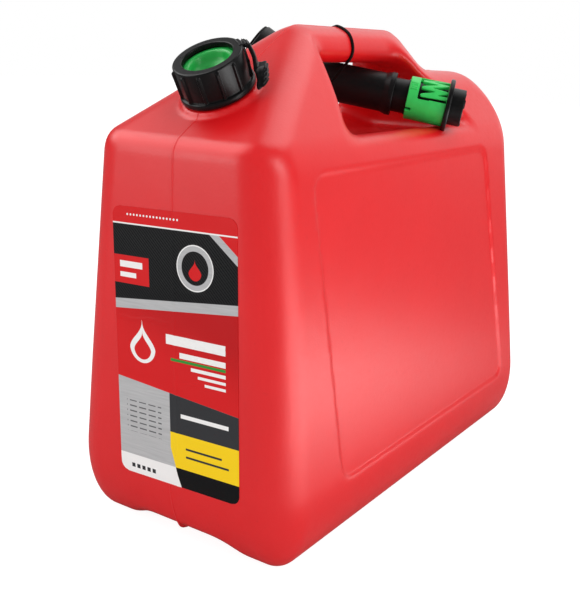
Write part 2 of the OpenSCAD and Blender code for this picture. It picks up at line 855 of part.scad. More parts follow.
// Lock ring: a turning sleeve with a window that holds its zigzag return spring
ring_in_r = nozzle_r + slide_gap;
window_turn = 177;
window_span = 89;
window_z = 11;
window_end = 2.5;
window_side = 8;
zigzag_legs = 7;
leg_w = 1.4;
leg_inset = 0.4;
notch_turn = 42;
notch_span = 5;
notch_len = 4;
grip_count = 5;
grip_turn = 46;
grip_step = 5;
grip_w = 1.2;
grip_h = 0.5;
module lock_ring() {
    window_len = ring_len - window_z - window_end;
    step = (window_span - 2 * window_side) / zigzag_legs;
    leg_t = ring_r - ring_in_r - 2 * leg_inset;
    leg_r = (ring_r + ring_in_r) / 2;
    lean = 2 * leg_r * sin(step / 2);
    leg_len = window_len + leg_inset;
    leg_tilt = atan(lean / leg_len);
    color(lock_green)
        on_spout(ring_z)
            union() {
                difference() {
                    cylinder(r = ring_r, h = ring_len);
                    translate([0, 0, -1])
                        cylinder(r = ring_in_r, h = ring_len + 2);
                    translate([0, 0, window_z])
                        rotate([0, 0, window_turn])
                            sector(window_span, window_len);
                    translate([0, 0, -1])
                        rotate([0, 0, window_turn + window_span + notch_turn])
                            sector(notch_span, notch_len + 1);
                }
                for (i = [0:zigzag_legs - 1])
                    rotate([0, 0, window_turn + window_side + step * (i + 0.5)])
                        translate([leg_r, 0, window_z + window_len / 2])
                            rotate([i % 2 == 0 ? -leg_tilt : leg_tilt, 0, 0])
                                cube([leg_t, leg_w, norm([leg_len, lean])], center = true);
                for (i = [0:grip_count - 1])
                    rotate([0, 0, window_turn + grip_turn + grip_step * i])
                        translate([ring_r - grip_h, -grip_w / 2, 1])
                            cube([2 * grip_h, grip_w, window_z - 3]);
            }
}
module sector(span, h) {
    reach = 2 * ring_r;
    linear_extrude(h)
        polygon([[0, 0], [reach, 0], reach * [cos(span / 2), sin(span / 2)], reach * [cos(span), sin(span)]]);
}

// Rubber band in an upright plane, around the handle and the spout tube near its bend
// It crosses the tube slantwise, so it needs some room there for its own thickness
band_tube_z = -40;
band_room = 3.6;
band_seat = 0.5;
spout_way = [cos(spout_dip) * cos(spout_yaw), cos(spout_dip) * sin(spout_yaw), -sin(spout_dip)];
band_tube = spout_cross + band_tube_z * spout_way;
band_turn = atan2(band_tube.y - band_y, band_tube.x - handle_w / 2);
module retaining_band() {
    across = 1 / abs(cos(band_turn));
    slant = 1 / abs(sin(band_turn - spout_yaw));
    tube_at = [norm([band_tube.x - handle_w / 2, band_tube.y - band_y]), band_tube.z];
    color(dark_rubber)
        translate([handle_w / 2, band_y, 0])
            rotate([90, 0, band_turn])
                linear_extrude(band_t, center = true)
                    difference() {
                        band_outline(across, slant, tube_at, band_seat + band_t);
                        band_outline(across, slant, tube_at, band_seat);
                    }
}
// Section of the handle that the band lies on
handle_side_z = tank_h - (handle_w - ridge_w) / 2 * roof_rise;
handle_half = handle_w / 2;
edge_r = handle_corner_r / 2;
handle_section = rounded([[-handle_half, handle_low_z, handle_corner_r],
                          [handle_half, handle_low_z, handle_corner_r],
                          [handle_half, handle_side_z, edge_r], [ridge_w / 2, tank_h, edge_r],
                          [-ridge_w / 2, tank_h, edge_r], [-handle_half, handle_side_z, edge_r]]);
module band_outline(across, slant, tube_at, grow) {
    offset(r = grow)
        hull() {
            translate([handle_half * across, 0])
                scale([across, 1])
                    polygon(handle_section);
            translate(tube_at)
                scale([slant, 1])
                    circle(r = tube_r + band_room);
        }
}

tank_body();
front_label();
arrestor_cage();
arrestor_screen();
retaining_band();
stopper_gasket();
stopper_disc();
collar();
lock_lever();
spout_body();
base_seal();
vent_tube();
stem_spider();
valve_stem();
valve_head();
valve_seal();
nozzle_tube();
nozzle_seal();
return_spring();
catch_flange();
nozzle_tip();
lock_ring();
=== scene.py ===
import json
import math

import bpy
import numpy as np
from mathutils import Matrix, Vector


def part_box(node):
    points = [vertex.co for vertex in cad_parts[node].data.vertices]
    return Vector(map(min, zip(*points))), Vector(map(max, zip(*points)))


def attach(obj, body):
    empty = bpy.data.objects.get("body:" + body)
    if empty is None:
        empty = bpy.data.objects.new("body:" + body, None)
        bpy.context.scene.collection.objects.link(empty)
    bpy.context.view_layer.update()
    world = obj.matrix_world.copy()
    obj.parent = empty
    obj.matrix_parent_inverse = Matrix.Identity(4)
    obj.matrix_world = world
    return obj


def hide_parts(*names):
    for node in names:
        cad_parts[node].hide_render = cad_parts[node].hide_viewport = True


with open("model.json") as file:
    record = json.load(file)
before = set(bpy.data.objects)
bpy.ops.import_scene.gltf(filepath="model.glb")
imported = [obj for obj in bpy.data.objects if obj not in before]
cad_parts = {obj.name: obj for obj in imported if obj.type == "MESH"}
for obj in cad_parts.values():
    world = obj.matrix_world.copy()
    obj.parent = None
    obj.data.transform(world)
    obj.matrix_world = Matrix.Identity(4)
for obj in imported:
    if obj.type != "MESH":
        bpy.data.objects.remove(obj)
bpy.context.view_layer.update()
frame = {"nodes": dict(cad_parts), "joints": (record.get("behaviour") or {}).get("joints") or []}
nodes = frame["nodes"]
joints = {j["name"]: j for j in frame["joints"]}
print("frame loaded:", len(nodes), "nodes")

mm = 0.001
fullTurn = 2 * math.pi


def tan(degrees):
    return math.tan(math.radians(degrees))


def sin(degrees):
    return math.sin(math.radians(degrees))


def cos(degrees):
    return math.cos(math.radians(degrees))


def anglesAround(count):
    return np.linspace(0, fullTurn, count, endpoint=False)


def frameAt(place, axis, sideways):
    z = Vector(axis).normalized()
    x = (Vector(sideways) - z * z.dot(Vector(sideways))).normalized()
    turn = Matrix((x, z.cross(x), z)).transposed().to_4x4()
    return Matrix.Translation(Vector(place)) @ turn


# x across the can, y up the slope, z out of the neck
neckFrame = frameAt(joints["collar_turn"]["pos_m"], joints["collar_turn"]["axis"], (1, 0, 0))
# x down, y away from the camera, z along the spout to its tip
spoutFrame = frameAt(joints["lock_turn"]["pos_m"], joints["lock_turn"]["axis"], (0, 0, -1))


class Wire:
    # an output socket that takes part in plain arithmetic
    def __init__(self, board, socket):
        self.board = board
        self.socket = socket

    def maths(self, operation, *values):
        return self.board.add("Math", {"operation": operation}, dict(enumerate(values)))

    def __add__(self, other):
        return self.maths("ADD", self, other)

    def __sub__(self, other):
        return self.maths("SUBTRACT", self, other)

    def __rsub__(self, other):
        return self.maths("SUBTRACT", other, self)

    def __mul__(self, other):
        return self.maths("MULTIPLY", self, other)

    def __truediv__(self, other):
        return self.maths("DIVIDE", self, other)

    def __rtruediv__(self, other):
        return self.maths("DIVIDE", other, self)

    def __mod__(self, other):
        return self.maths("FLOORED_MODULO", self, other)

    def __abs__(self):
        return self.maths("ABSOLUTE", self)

    __radd__ = __add__
    __rmul__ = __mul__

    def least(self, other):
        return self.maths("MINIMUM", self, other)

    def most(self, other):
        return self.maths("MAXIMUM", self, other)

    def root(self):
        return self.maths("SQRT", self)

    def rise(self, start, end):
        # 0 below start, 1 above end, eased between
        return self.board.add("MapRange", {"interpolation_type": "SMOOTHSTEP"},
                              {"Value": self, "From Min": start, "From Max": end})

    def within(self, low, high, soft):
        return self.rise(low - soft, low + soft) * (1 - self.rise(high - soft, high + soft))


class Board:
    def __init__(self, name):
        self.material = bpy.data.materials.new(name)
        self.material.use_nodes = True
        self.tree = self.material.node_tree
        self.shader = self.tree.nodes["Principled BSDF"]
        self.out = self.tree.nodes["Material Output"]

    def feed(self, socket, value):
        if isinstance(value, Wire):
            self.tree.links.new(value.socket, socket)
        elif hasattr(socket.default_value, "__len__") and len(socket.default_value) == 4 and len(value) == 3:
            socket.default_value = (*value, 1)
        else:
            socket.default_value = value

    def add(self, kind, settings=None, sockets=None, out=0):
        node = self.tree.nodes.new("ShaderNode" + kind)
        for key, value in (settings or {}).items():
            setattr(node, key, value)
        for key, value in (sockets or {}).items():
            self.feed(node.inputs[key], value)
        return Wire(self, node.outputs[out])

    def mix(self, low, high, factor):
        return self.add("Mix", {"data_type": "RGBA"}, {6: low, 7: high, 0: factor}, out=2)

    def place(self):
        return self.add("TexCoord", out=3)

    def along(self, axis):
        # the piece's own coordinate in millimetres
        return self.add("SeparateXYZ", {}, {0: self.place()}, out=axis) * 1000

    def noise(self, size, detail=2.0, stretch=(1, 1, 1)):
        # size in metres
        scale = self.add("VectorMath", {"operation": "MULTIPLY"}, {0: self.place(), 1: stretch})
        return self.add("TexNoise", {}, {"Vector": scale, "Scale": 1 / size, "Detail": detail})

    def bump(self, height, depth, strength=1.0, before=None):
        sockets = {"Height": height, "Distance": depth, "Strength": strength}
        if before:
            sockets["Normal"] = before
        return self.add("Bump", {}, sockets)

    def finish(self, **sockets):
        for key, value in sockets.items():
            self.feed(self.shader.inputs[key.replace("_", " ")], value)
        return self.material


def redFinish():
    b = Board("redPolyethylene")
    cloud = b.noise(0.06, 2)
    speck = b.noise(0.004, 3)
    peel = b.noise(0.0017, 2)
    colour = b.mix((0.63, 0.0042, 0.0068), (0.7, 0.0058, 0.0088), cloud)
    colour = b.mix(colour, (0.54, 0.005, 0.007), speck.rise(0.62, 0.8) * 0.35)
    normal = b.bump(peel, 0.00012, 0.5, b.bump(b.noise(0.03, 1), 0.0006, 0.35))
    return b.finish(Base_Color=colour, Roughness=0.29 + 0.12 * speck, Normal=normal, Specular_IOR_Level=0.5)


def blackFinish(name, roughness, grain):
    b = Board(name)
    speck = b.noise(0.003, 3)
    colour = b.mix((0.003, 0.003, 0.0035), (0.007, 0.0068, 0.007), speck)
    normal = b.bump(b.noise(grain, 2), 0.0001, 0.45)
    return b.finish(Base_Color=colour, Roughness=roughness + 0.12 * speck, Normal=normal,
                    Specular_IOR_Level=0.2)


def greenFinish(name, low, high):
    b = Board(name)
    speck = b.noise(0.004, 2)
    colour = b.mix(low, high, speck)
    normal = b.bump(b.noise(0.0012, 2), 0.00008, 0.4)
    return b.finish(Base_Color=colour, Roughness=0.3 + 0.12 * speck, Normal=normal)


def rubberFinish():
    b = Board("darkRubber")
    speck = b.noise(0.0012, 3)
    colour = b.mix((0.003, 0.0025, 0.0025), (0.007, 0.006, 0.006), speck)
    return b.finish(Base_Color=colour, Roughness=0.5 + 0.25 * speck, Normal=b.bump(speck, 0.00015, 0.5),
                    Specular_IOR_Level=0.08)


def steelFinish():
    b = Board("drawnSteel")
    scratch = b.noise(0.001, 4, (1, 1, 6))
    return b.finish(Base_Color=b.mix((0.42, 0.43, 0.45), (0.56, 0.57, 0.58), scratch), Metallic=1.0,
                    Roughness=0.25 + 0.2 * scratch, Normal=b.bump(scratch, 0.00005, 0.5))


def meshFinish():
    # woven wire, one hole a millimetre
    b = Board("wireMesh")
    x, y, z = (b.along(i) for i in range(3))
    across = abs(((x + y) % 1) - 0.5)
    up = abs((z % 1) - 0.5)
    wire = across.most(up).rise(0.28, 0.34)
    return b.finish(Base_Color=b.mix((0.3, 0.31, 0.32), (0.55, 0.56, 0.57), across), Metallic=1.0,
                    Roughness=0.3 + 0.15 * up, Alpha=wire)


redPlastic = redFinish()
blackPlastic = blackFinish("blackMoulding", 0.24, 0.0015)
satinBlack = blackFinish("blackTubing", 0.34, 0.0022)
# one green plastic in two copies: the stopper's is darker, painted shade for its bowl, and the ring's is
# brighter, painted light on the ring
greenStopperPaintedShade = greenFinish("greenStopperPaintedShade", (0.01, 0.36, 0.055), (0.018, 0.43, 0.075))
greenRingPaintedLight = greenFinish("greenRingPaintedLight", (0.018, 0.54, 0.085), (0.028, 0.62, 0.11))
blackRubber = rubberFinish()
brightSteel = steelFinish()
wireMesh = meshFinish()

carriedOver = {
    "nozzle_tube": satinBlack, "vent_tube": satinBlack, "stem_spider": satinBlack, "valve_stem": blackPlastic,
    "valve_head": blackPlastic, "arrestor_cage": satinBlack, "arrestor_screen": wireMesh,
    "return_spring": brightSteel, "base_seal": blackRubber, "valve_seal": blackRubber,
    "nozzle_seal": blackRubber, "stopper_gasket": blackRubber,
}
for name, material in carriedOver.items():
    nodes[name].data.materials.clear()
    nodes[name].data.materials.append(material)
print("finishes ready")


def pieceFrom(name, shape, material, body, stands=(), place=None, crisp=None):
    # shape is points in millimetres and faces; edges above the angle crisp, in degrees, aren't smoothed
    points, faces = shape
    mesh = bpy.data.meshes.new(name)
    mesh.from_pydata([tuple(p) for p in points * mm], [], [tuple(f) for f in faces])
    mesh.validate()
    mesh.update()
    mesh.materials.append(material)
    mesh.polygons.foreach_set("use_smooth", [True] * len(mesh.polygons))
    if crisp:
        mesh.set_sharp_from_angle(angle=math.radians(crisp))
    piece = bpy.data.objects.new(name, mesh)
    bpy.context.scene.collection.objects.link(piece)
    if place is not None:
        piece.matrix_world = place
    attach(piece, body)
    if stands:
        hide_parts(*stands)


def roundedPath(corners, steps=5):
    # corners are (x, y, radius) around a closed loop
    path = []
    count = len(corners)
    for i, (x, y, r) in enumerate(corners):
        p = np.array((x, y), float)
        if not r:
            path.append(p)
            continue
        a = np.array(corners[i - 1][:2], float) - p
        b = np.array(corners[(i + 1) % count][:2], float) - p
        a, b = a / np.linalg.norm(a), b / np.linalg.norm(b)
        half = math.acos(max(-1, min(1, a @ b))) / 2
        centre = p + (a + b) / np.linalg.norm(a + b) * r / math.sin(half)
        start, end = p + a * r / math.tan(half) - centre, p + b * r / math.tan(half) - centre
        angle = math.atan2(start[0] * end[1] - start[1] * end[0], start @ end)
        for k in range(steps + 1):
            t = angle * k / steps
            c, s = math.cos(t), math.sin(t)
            path.append(centre + np.array((c * start[0] - s * start[1], s * start[0] + c * start[1])))
    return np.array(path)


def densePath(path, step):
    # the closed path with points added on its long stretches
    dense = []
    for i, p in enumerate(path):
        q = path[(i + 1) % len(path)]
        pieces = max(1, int(np.linalg.norm(q - p) / step))
        dense += [p + (q - p) * k / pieces for k in range(pieces)]
    return np.array(dense)


def gridFaces(rows, columns, loopRows=True, loopColumns=True):
    faces = []
    for i in range(rows if loopRows else rows - 1):
        j = (i + 1) % rows
        for k in range(columns if loopColumns else columns - 1):
            m = (k + 1) % columns
            faces.append((i * columns + k, i * columns + m, j * columns + m, j * columns + k))
    return faces


def spun(path, turns=96, shift=None):
    # closed path of (radius, height) about z; shift(radius, height, angle) gives a new radius
    a = anglesAround(turns)[None, :]
    r, h = path[:, :1] + 0 * a, path[:, 1:] + 0 * a
    a = a + 0 * r
    if shift:
        r = shift(r, h, a)
    points = np.stack([r * np.cos(a), r * np.sin(a), h], -1).reshape(-1, 3)
    return points, gridFaces(len(path), turns)


def softMax(a, b, k):
    h = np.maximum(k - np.abs(a - b), 0) / k
    return np.maximum(a, b) + h * h * k / 4


def softMin(a, b, k):
    return -softMax(-a, -b, k)


def eased(value, start, end):
    t = np.clip((value - start) / (end - start), 0, 1)
    return t * t * (3 - 2 * t)


def rounded(sides, r):
    # distance to where the sides meet in an edge of radius r; each side is given r too high
    out = np.sqrt(sum(np.maximum(s, 0) ** 2 for s in sides))
    deep = sides[0]
    for s in sides[1:]:
        deep = np.maximum(deep, s)
    return out + np.minimum(deep, 0) - r


def roundBox(parts, halves, r):
    return rounded([np.abs(p) - h + r for p, h in zip(parts, halves)], r)


def rod(p, a, b, startRadius, endRadius):
    # distance to a round bar between two points
    a, b = np.array(a, float), np.array(b, float)
    run = b - a
    t = np.clip(sum((p[i] - a[i]) * run[i] for i in range(len(a))) / (run @ run), 0, 1)
    away = np.sqrt(sum((p[i] - a[i] - t * run[i]) ** 2 for i in range(len(a))))
    return away - startRadius - (endRadius - startRadius) * t


def polar(x, y, z):
    # distance from the z axis and turn about it in degrees, at every point of the grid
    return np.sqrt(x * x + y * y) + 0 * z, np.degrees(np.arctan2(y, x)) + 0 * z


def slopeOf(field, p, reach):
    g = np.empty_like(p)
    for i in range(3):
        d = np.zeros(3)
        d[i] = reach
        g[:, i] = (field(*(p + d).T) - field(*(p - d).T)) / (2 * reach)
    return g


def shellOf(field, low, high, step, settle=4):
    # closed surface where the field is zero, one point for each grid cell that it crosses
    axes = [np.arange(low[i] - 1.5 * step, high[i] + 2.5 * step, step) for i in range(3)]
    shape = tuple(len(a) for a in axes)
    grid = np.meshgrid(*axes, indexing="ij", sparse=True)
    values = np.array(np.broadcast_to(field(*grid), shape), np.float64)
    inside = values < 0
    cells = tuple(n - 1 for n in shape)
    total = np.zeros(cells + (3,))
    count = np.zeros(cells)
    quads = []
    for a in range(3):
        b, c = (a + 1) % 3, (a + 2) % 3
        near = [slice(None)] * 3
        far = [slice(None)] * 3
        near[a], far[a] = slice(0, -1), slice(1, None)
        v0, v1 = values[tuple(near)], values[tuple(far)]
        cross = inside[tuple(near)] != inside[tuple(far)]
        t = np.where(cross, v0 / np.where(cross, v0 - v1, 1), 0)
        for ob in (0, 1):
            for oc in (0, 1):
                part = [slice(None)] * 3
                part[b] = slice(ob, shape[b] - 1 + ob)
                part[c] = slice(oc, shape[c] - 1 + oc)
                hit = cross[tuple(part)]
                count += hit
                total[..., a] += t[tuple(part)]
                total[..., b] += hit * ob
                total[..., c] += hit * oc
        at = np.argwhere(cross)
        at = at[(at[:, b] > 0) & (at[:, b] < cells[b]) & (at[:, c] > 0) & (at[:, c] < cells[c])]
        flip = inside[tuple(near)][tuple(at.T)]
        eb, ec = np.eye(3, dtype=int)[b], np.eye(3, dtype=int)[c]
        around = np.stack([at - eb - ec, at - ec, at, at - eb], 1)
        around[~flip] = around[~flip][:, ::-1]
        quads.append(around)
    active = count > 0
    number = np.full(cells, -1)
    number[active] = np.arange(active.sum())
    origin = np.array([a[0] for a in axes])
    points = origin + step * (np.argwhere(active) + total[active] / count[active][:, None])
    faces = np.concatenate([number[tuple(np.moveaxis(q, -1, 0))] for q in quads])
    for _ in range(settle):
        g = slopeOf(field, points, step * 0.02)
        f = field(*points.T)
        move = (f / np.maximum((g * g).sum(1), 1e-6))[:, None] * g
        points = points - np.clip(move, -step, step)
    return points, faces


tankLow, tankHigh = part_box("tank_body")
tankForm = {
    "length": (tankHigh.y - tankLow.y) / mm,
    "top": tankHigh.z / mm,
    "floorWidth": 211.3,
    "sideDraft": 5.29,  # degrees
    "frontEdgeDrop": 80,
    "frontLean": 0.36,
    "slope": 31.2,
    "rearLean": 6.4,
    "rearRoofDrop": 34,
    "roof": 52,
    "ridge": 25,  # width of the level top
    "cornerRadius": 30,
    "cornerGrow": (2, 140),  # extra radius at the floor, and the height where it ends
    "lowerRound": 62,  # height of the rounded lower edges
    "handleWidth": 40, "handleThick": 27.7, "handleEnd": 86, "barRound": 12,
    "post": 42,
    "postEdge": ((15, 64, 371), (37.5, 76.5, 342.4)),  # where the post's back leaves the roof's flank
    "postBack": (-0.64, 0.77, 0),  # level direction of the back, to the middle
    "pocketFront": -74.7, "pocketRear": 61.3, "pocketDrop": 87,
    "pocketLip": 10,  # rise of the floor towards each side
    "lipFrom": (25, 62),  # distances from the middle between which it rises
    "flareFront": 20, "flareSide": 45, "flareAt": 54,
    "pocketLean": 48,
    "channelHalf": 44, "channelHigh": 6.5,
    "bossRadius": 28, "bossHigh": 3,
    "panel": (-136, 162, 55, 276),  # front and rear at the lower edge, low, high
    "panelSlant": (7, 11), "panelRadius": 13, "panelDeep": 1.6,
    "panelEdge": 1.5,  # half the width of the step around the panel
    "panelFrom": (40, 55),  # distances from the middle between which the panel sets in
    "grid": 2.6,
}
# how softly the tank's faces run into each other
tankBlends = {
    "postBack": 9, "rearEdge": 24, "slopeTop": 5, "postFoot": 10, "ends": 9, "ridge": 16, "walls": 8,
    "pocketTurn": 10, "pocketEnds": 6, "pocketFloor": 16, "bar": 12, "pocketRim": 8,
    "channelSide": 26, "channelRim": 14, "bossEdge": 2, "bossFoot": 3,
}
neckTurn = np.array(neckFrame.to_3x3())
neckPlace = np.array(neckFrame.translation) / mm


def frontAt(z):
    t = tankForm
    return -t["length"] / 2 + (z - t["lowerRound"]) * tan(t["frontLean"])


def tankField(x, y, z):
    t, k = tankForm, tankBlends
    ax = np.sqrt(x * x + 0.01)
    side = (ax - t["floorWidth"] / 2 + z * tan(t["sideDraft"])) * cos(t["sideDraft"])
    front = frontAt(z) - y
    rear = y - t["length"] / 2 - (t["lowerRound"] - z) * tan(t["rearLean"])
    r = t["cornerRadius"] + t["cornerGrow"][0] * (1 - eased(z, 0, t["cornerGrow"][1]))
    box = rounded((side + r, np.maximum(front, rear) + r, r - z * r / t["lowerRound"]), r)
    up = z - t["top"]
    edgeAt = frontAt(t["top"] - t["frontEdgeDrop"])
    slope = (edgeAt - y) * sin(t["slope"]) + (up + t["frontEdgeDrop"]) * cos(t["slope"])
    post = (y - t["handleEnd"]) * sin(t["post"]) + up * cos(t["post"])
    start, end = (np.array(p, float) for p in t["postEdge"])
    n = np.cross(end - start, t["postBack"])
    n = n / np.linalg.norm(n)
    post = softMax(post, (ax - start[0]) * n[0] + (y - start[1]) * n[1] + (z - start[2]) * n[2],
                   k["postBack"])
    rearRoof = softMax(up + t["rearRoofDrop"], rear, k["rearEdge"])
    long = softMax(softMax(slope, up, k["slopeTop"]), softMin(post, rearRoof, k["postFoot"]), k["ends"])
    roof = (ax - t["ridge"] / 2) * sin(t["roof"]) + up * cos(t["roof"])
    form = softMax(box, softMax(long, roof, k["ridge"]), k["walls"])
    # pocket around the handle
    half = t["handleWidth"] / 2
    low = t["top"] - t["handleThick"]
    wallFront = (t["pocketFront"] - (ax - half) * tan(t["flareFront"]) - y) * cos(t["flareFront"])
    turnAt = t["pocketFront"] - (t["flareAt"] - half) * tan(t["flareFront"])
    wallSide = (turnAt - (ax - t["flareAt"]) * tan(t["flareSide"]) - y) * cos(t["flareSide"])
    wallFront = softMin(wallFront, wallSide, k["pocketTurn"])
    wallRear = (y - t["pocketRear"] - (low - z) / tan(t["pocketLean"])) * sin(t["pocketLean"])
    floor = t["top"] - t["pocketDrop"] + t["pocketLip"] * eased(ax, *t["lipFrom"]) - z
    pocket = softMax(softMax(wallFront, wallRear, k["pocketEnds"]), floor, k["pocketFloor"])
    r = t["barRound"]
    bar = rounded((ax - half + r, low - z + r), r)
    form = softMax(form, -softMax(pocket, -bar, k["bar"]), k["pocketRim"])
    # channel between the two rails underneath
    channel = softMax(ax - t["channelHalf"], z - t["channelHigh"], k["channelSide"])
    form = softMax(form, -channel, k["channelRim"])
    # recessed panel on each long side
    p0, p1, p2, p3 = t["panel"]
    p0 = p0 - (z - p2) * tan(t["panelSlant"][0])
    p1 = p1 - (z - p2) * tan(t["panelSlant"][1])
    edge = roundBox((y - (p0 + p1) / 2, z - (p2 + p3) / 2), ((p1 - p0) / 2, (p3 - p2) / 2), t["panelRadius"])
    panel = 1 - eased(edge, -t["panelEdge"], t["panelEdge"])
    form = form + t["panelDeep"] * panel * eased(ax, *t["panelFrom"])
    # boss under the collar
    away = x - neckPlace[0], y - neckPlace[1], z - neckPlace[2]
    u, h = (sum(neckTurn[i, j] * away[i] for i in range(3)) for j in (1, 2))
    boss = np.sqrt(away[0] ** 2 + u * u) - t["bossRadius"]
    boss = softMax(boss, np.abs(h) - t["bossHigh"], k["bossEdge"])
    return softMin(form, boss, k["bossFoot"])


tank = shellOf(tankField, np.array(tankLow) / mm, np.array(tankHigh) / mm, tankForm["grid"])
pieceFrom("tank", tank, redPlastic, "tank", ("tank_body",))
print("tank done")


# the raised line where the halves of the mould met, on x = 0
seamLine = {
    "half": 0.9, "high": 0.22, "sunk": 0.4, "points": 720, "halvings": 14,
    "tabHigh": 2.4, "tabAt": 12, "tabHalf": 5, "tabFront": -150,
    # places across the line and shares of its height, none where it is sunk into the wall
    "section": ((-1.6, None), (-1, 0.1), (-0.5, 0.85), (0, 1), (0.5, 0.85), (1, 0.1), (1.6, None)),
    # a middle to look out from (y, z) and how far
    "tankMiddle": (0, 150), "tankReach": 420, "pocketMiddle": (-10, 316), "pocketReach": 160,
}


def outlineFrom(middle, reach, outer):
    a = anglesAround(seamLine["points"])[:, None]
    away = np.arange(0, reach, 1.0)[None, :]
    solid = tankField(0 * a * away, middle[0] + np.cos(a) * away, middle[1] + np.sin(a) * away) < 0
    if outer:
        near = away.shape[1] - 1 - np.argmax(solid[:, ::-1], 1)
    else:
        near = np.argmax(solid, 1) - 1
    low, high = near.astype(float), near + 1.0
    a = a[:, 0]
    for _ in range(seamLine["halvings"]):
        middleWay = (low + high) / 2
        hit = tankField(0 * a, middle[0] + np.cos(a) * middleWay, middle[1] + np.sin(a) * middleWay) < 0
        low = np.where(hit == outer, middleWay, low)
        high = np.where(hit == outer, high, middleWay)
    return np.stack([middle[0] + np.cos(a) * low, middle[1] + np.sin(a) * low], 1)


def seamAlong(name, outline, sign):
    s = seamLine
    run = np.roll(outline, -1, 0) - np.roll(outline, 1, 0)
    run = run / np.linalg.norm(run, axis=1)[:, None]
    out = sign * np.stack([run[:, 1], -run[:, 0]], 1)
    tab = np.exp(-((outline[:, 1] - s["tabAt"]) / s["tabHalf"]) ** 2) * (outline[:, 0] < s["tabFront"])
    high = s["high"] + s["tabHigh"] * tab
    rows = []
    for across, part in s["section"]:
        lift = -s["sunk"] + 0 * high if part is None else part * high
        place = outline + out * lift[:, None]
        rows.append(np.column_stack([np.full(len(place), across * s["half"]), place]))
    points = np.stack(rows, 1).reshape(-1, 3)
    pieceFrom(name, (points, gridFaces(len(outline), len(rows))), redPlastic, "tank")


seamAlong("seam", outlineFrom(seamLine["tankMiddle"], seamLine["tankReach"], True), 1)
seamAlong("pocketSeam", outlineFrom(seamLine["pocketMiddle"], seamLine["pocketReach"], False), -1)


neck = {
    "radius": 20.5, "bore": 17, "root": -4, "high": 22.8, "edge": 0.6, "step": 0.5,
    "pitch": 6, "thread": 0.9, "threadIn": (5, 7), "threadOut": (19, 21),
    "ridgeHalf": 0.22, "ridgeFlat": 1.8,  # shares of a turn, and how much of the ridge is level
}


def neckThread(r, h, a):
    turn = (h / neck["pitch"] - a / fullTurn) % 1
    ridge = np.clip(1 - np.abs(turn - 0.5) / neck["ridgeHalf"], 0, 1)
    live = eased(h, *neck["threadIn"]) * (1 - eased(h, *neck["threadOut"])) * (r > neck["radius"] - 0.1)
    return r + neck["thread"] * np.minimum(ridge * neck["ridgeFlat"], 1) * live


neckPath = roundedPath([(neck["bore"], neck["root"], 0), (neck["radius"], neck["root"], 0),
                        (neck["radius"], neck["high"], neck["edge"]),
                        (neck["bore"], neck["high"], neck["edge"])])
threaded = spun(densePath(neckPath, neck["step"]), shift=neckThread)
pieceFrom("neck", threaded, redPlastic, "tank", place=neckFrame)
print("seam and neck done")


# printed vinyl, stuck on over the seam, with a few wrinkles
labelSheet = {
    "width": 109, "height": 197, "low": 51.6, "tilt": 2.4, "aside": 4.2, "corner": 7,
    "thick": 0.3, "sunk": 0.4, "columns": 110, "rows": 200, "passes": 8,
    "seamHigh": 0.3, "seamHalf": 1.3, "waveHigh": 0.8, "waveLong": 5, "wrinkleHalf": 0.9,
    # height on the label, slant, place of its middle, half length, depth
    "wrinkles": ((20, 0.05, -30, 26, 0.35), (12, -0.12, 30, 22, 0.3), (8, -0.06, 22, 30, 0.25),
                 (-32, 0.16, -30, 18, 0.3), (-18, 0.1, 24, 20, 0.2), (44, -0.05, 18, 14, 0.2)),
}
labelMiddle = labelSheet["low"] + labelSheet["height"] / 2
labelFrame = (Matrix.Translation((labelSheet["aside"] * mm, frontAt(labelMiddle) * mm, labelMiddle * mm))
              @ Matrix.Rotation(math.radians(90 - tankForm["frontLean"]), 4, "X")
              @ Matrix.Rotation(math.radians(labelSheet["tilt"]), 4, "Z"))


def labelHeight(u, v):
    s = labelSheet
    high = s["seamHigh"] * np.exp(-(u / s["seamHalf"]) ** 2)
    for at, slant, middle, half, depth in s["wrinkles"]:
        off = v - at - slant * (u - middle) - s["waveHigh"] * np.sin((u - middle) / s["waveLong"])
        high = high + depth * np.exp(-(off / s["wrinkleHalf"]) ** 2) * np.exp(-((u - middle) / half) ** 4)
    return high


def makeLabel():
    s = labelSheet
    columns, rows = s["columns"], s["rows"]
    v = np.linspace(-s["height"] / 2, s["height"] / 2, rows)
    over = np.maximum(np.abs(v) - s["height"] / 2 + s["corner"], 0)
    half = s["width"] / 2 - s["corner"] + np.sqrt(np.maximum(s["corner"] ** 2 - over ** 2, 0))
    u = np.linspace(-1, 1, columns)[None, :] * half[:, None]
    v = v[:, None] + 0 * u
    flat = np.stack([u, v, 0 * u, 1 + 0 * u], -1)
    turn = np.array(labelFrame)
    turn[:3, 3] /= mm
    x, y, z = (flat @ turn.T)[..., :3].transpose(2, 0, 1)
    for _ in range(s["passes"]):
        y = y + tankField(x, y, z)
    back = np.linalg.inv(turn)
    on = (np.stack([x, y, z, 1 + 0 * x], -1) @ back.T)[..., :3]
    face = on + np.stack([0 * u, 0 * u, s["thick"] + labelHeight(u, v)], -1)
    under = on - np.array((0, 0, s["sunk"]))
    ring = [(0, k) for k in range(columns)] + [(i, columns - 1) for i in range(1, rows)]
    ring += [(rows - 1, k) for k in range(columns - 2, -1, -1)]
    ring += [(i, 0) for i in range(rows - 2, 0, -1)]
    points = list(face.reshape(-1, 3)) + [under[c] for c in ring]
    faces = gridFaces(rows, columns, False, False)
    first = rows * columns
    for n, (i, k) in enumerate(ring):
        i2, k2 = ring[(n + 1) % len(ring)]
        faces.append((i2 * columns + k2, i * columns + k, first + n, first + (n + 1) % len(ring)))
    return np.array(points), faces


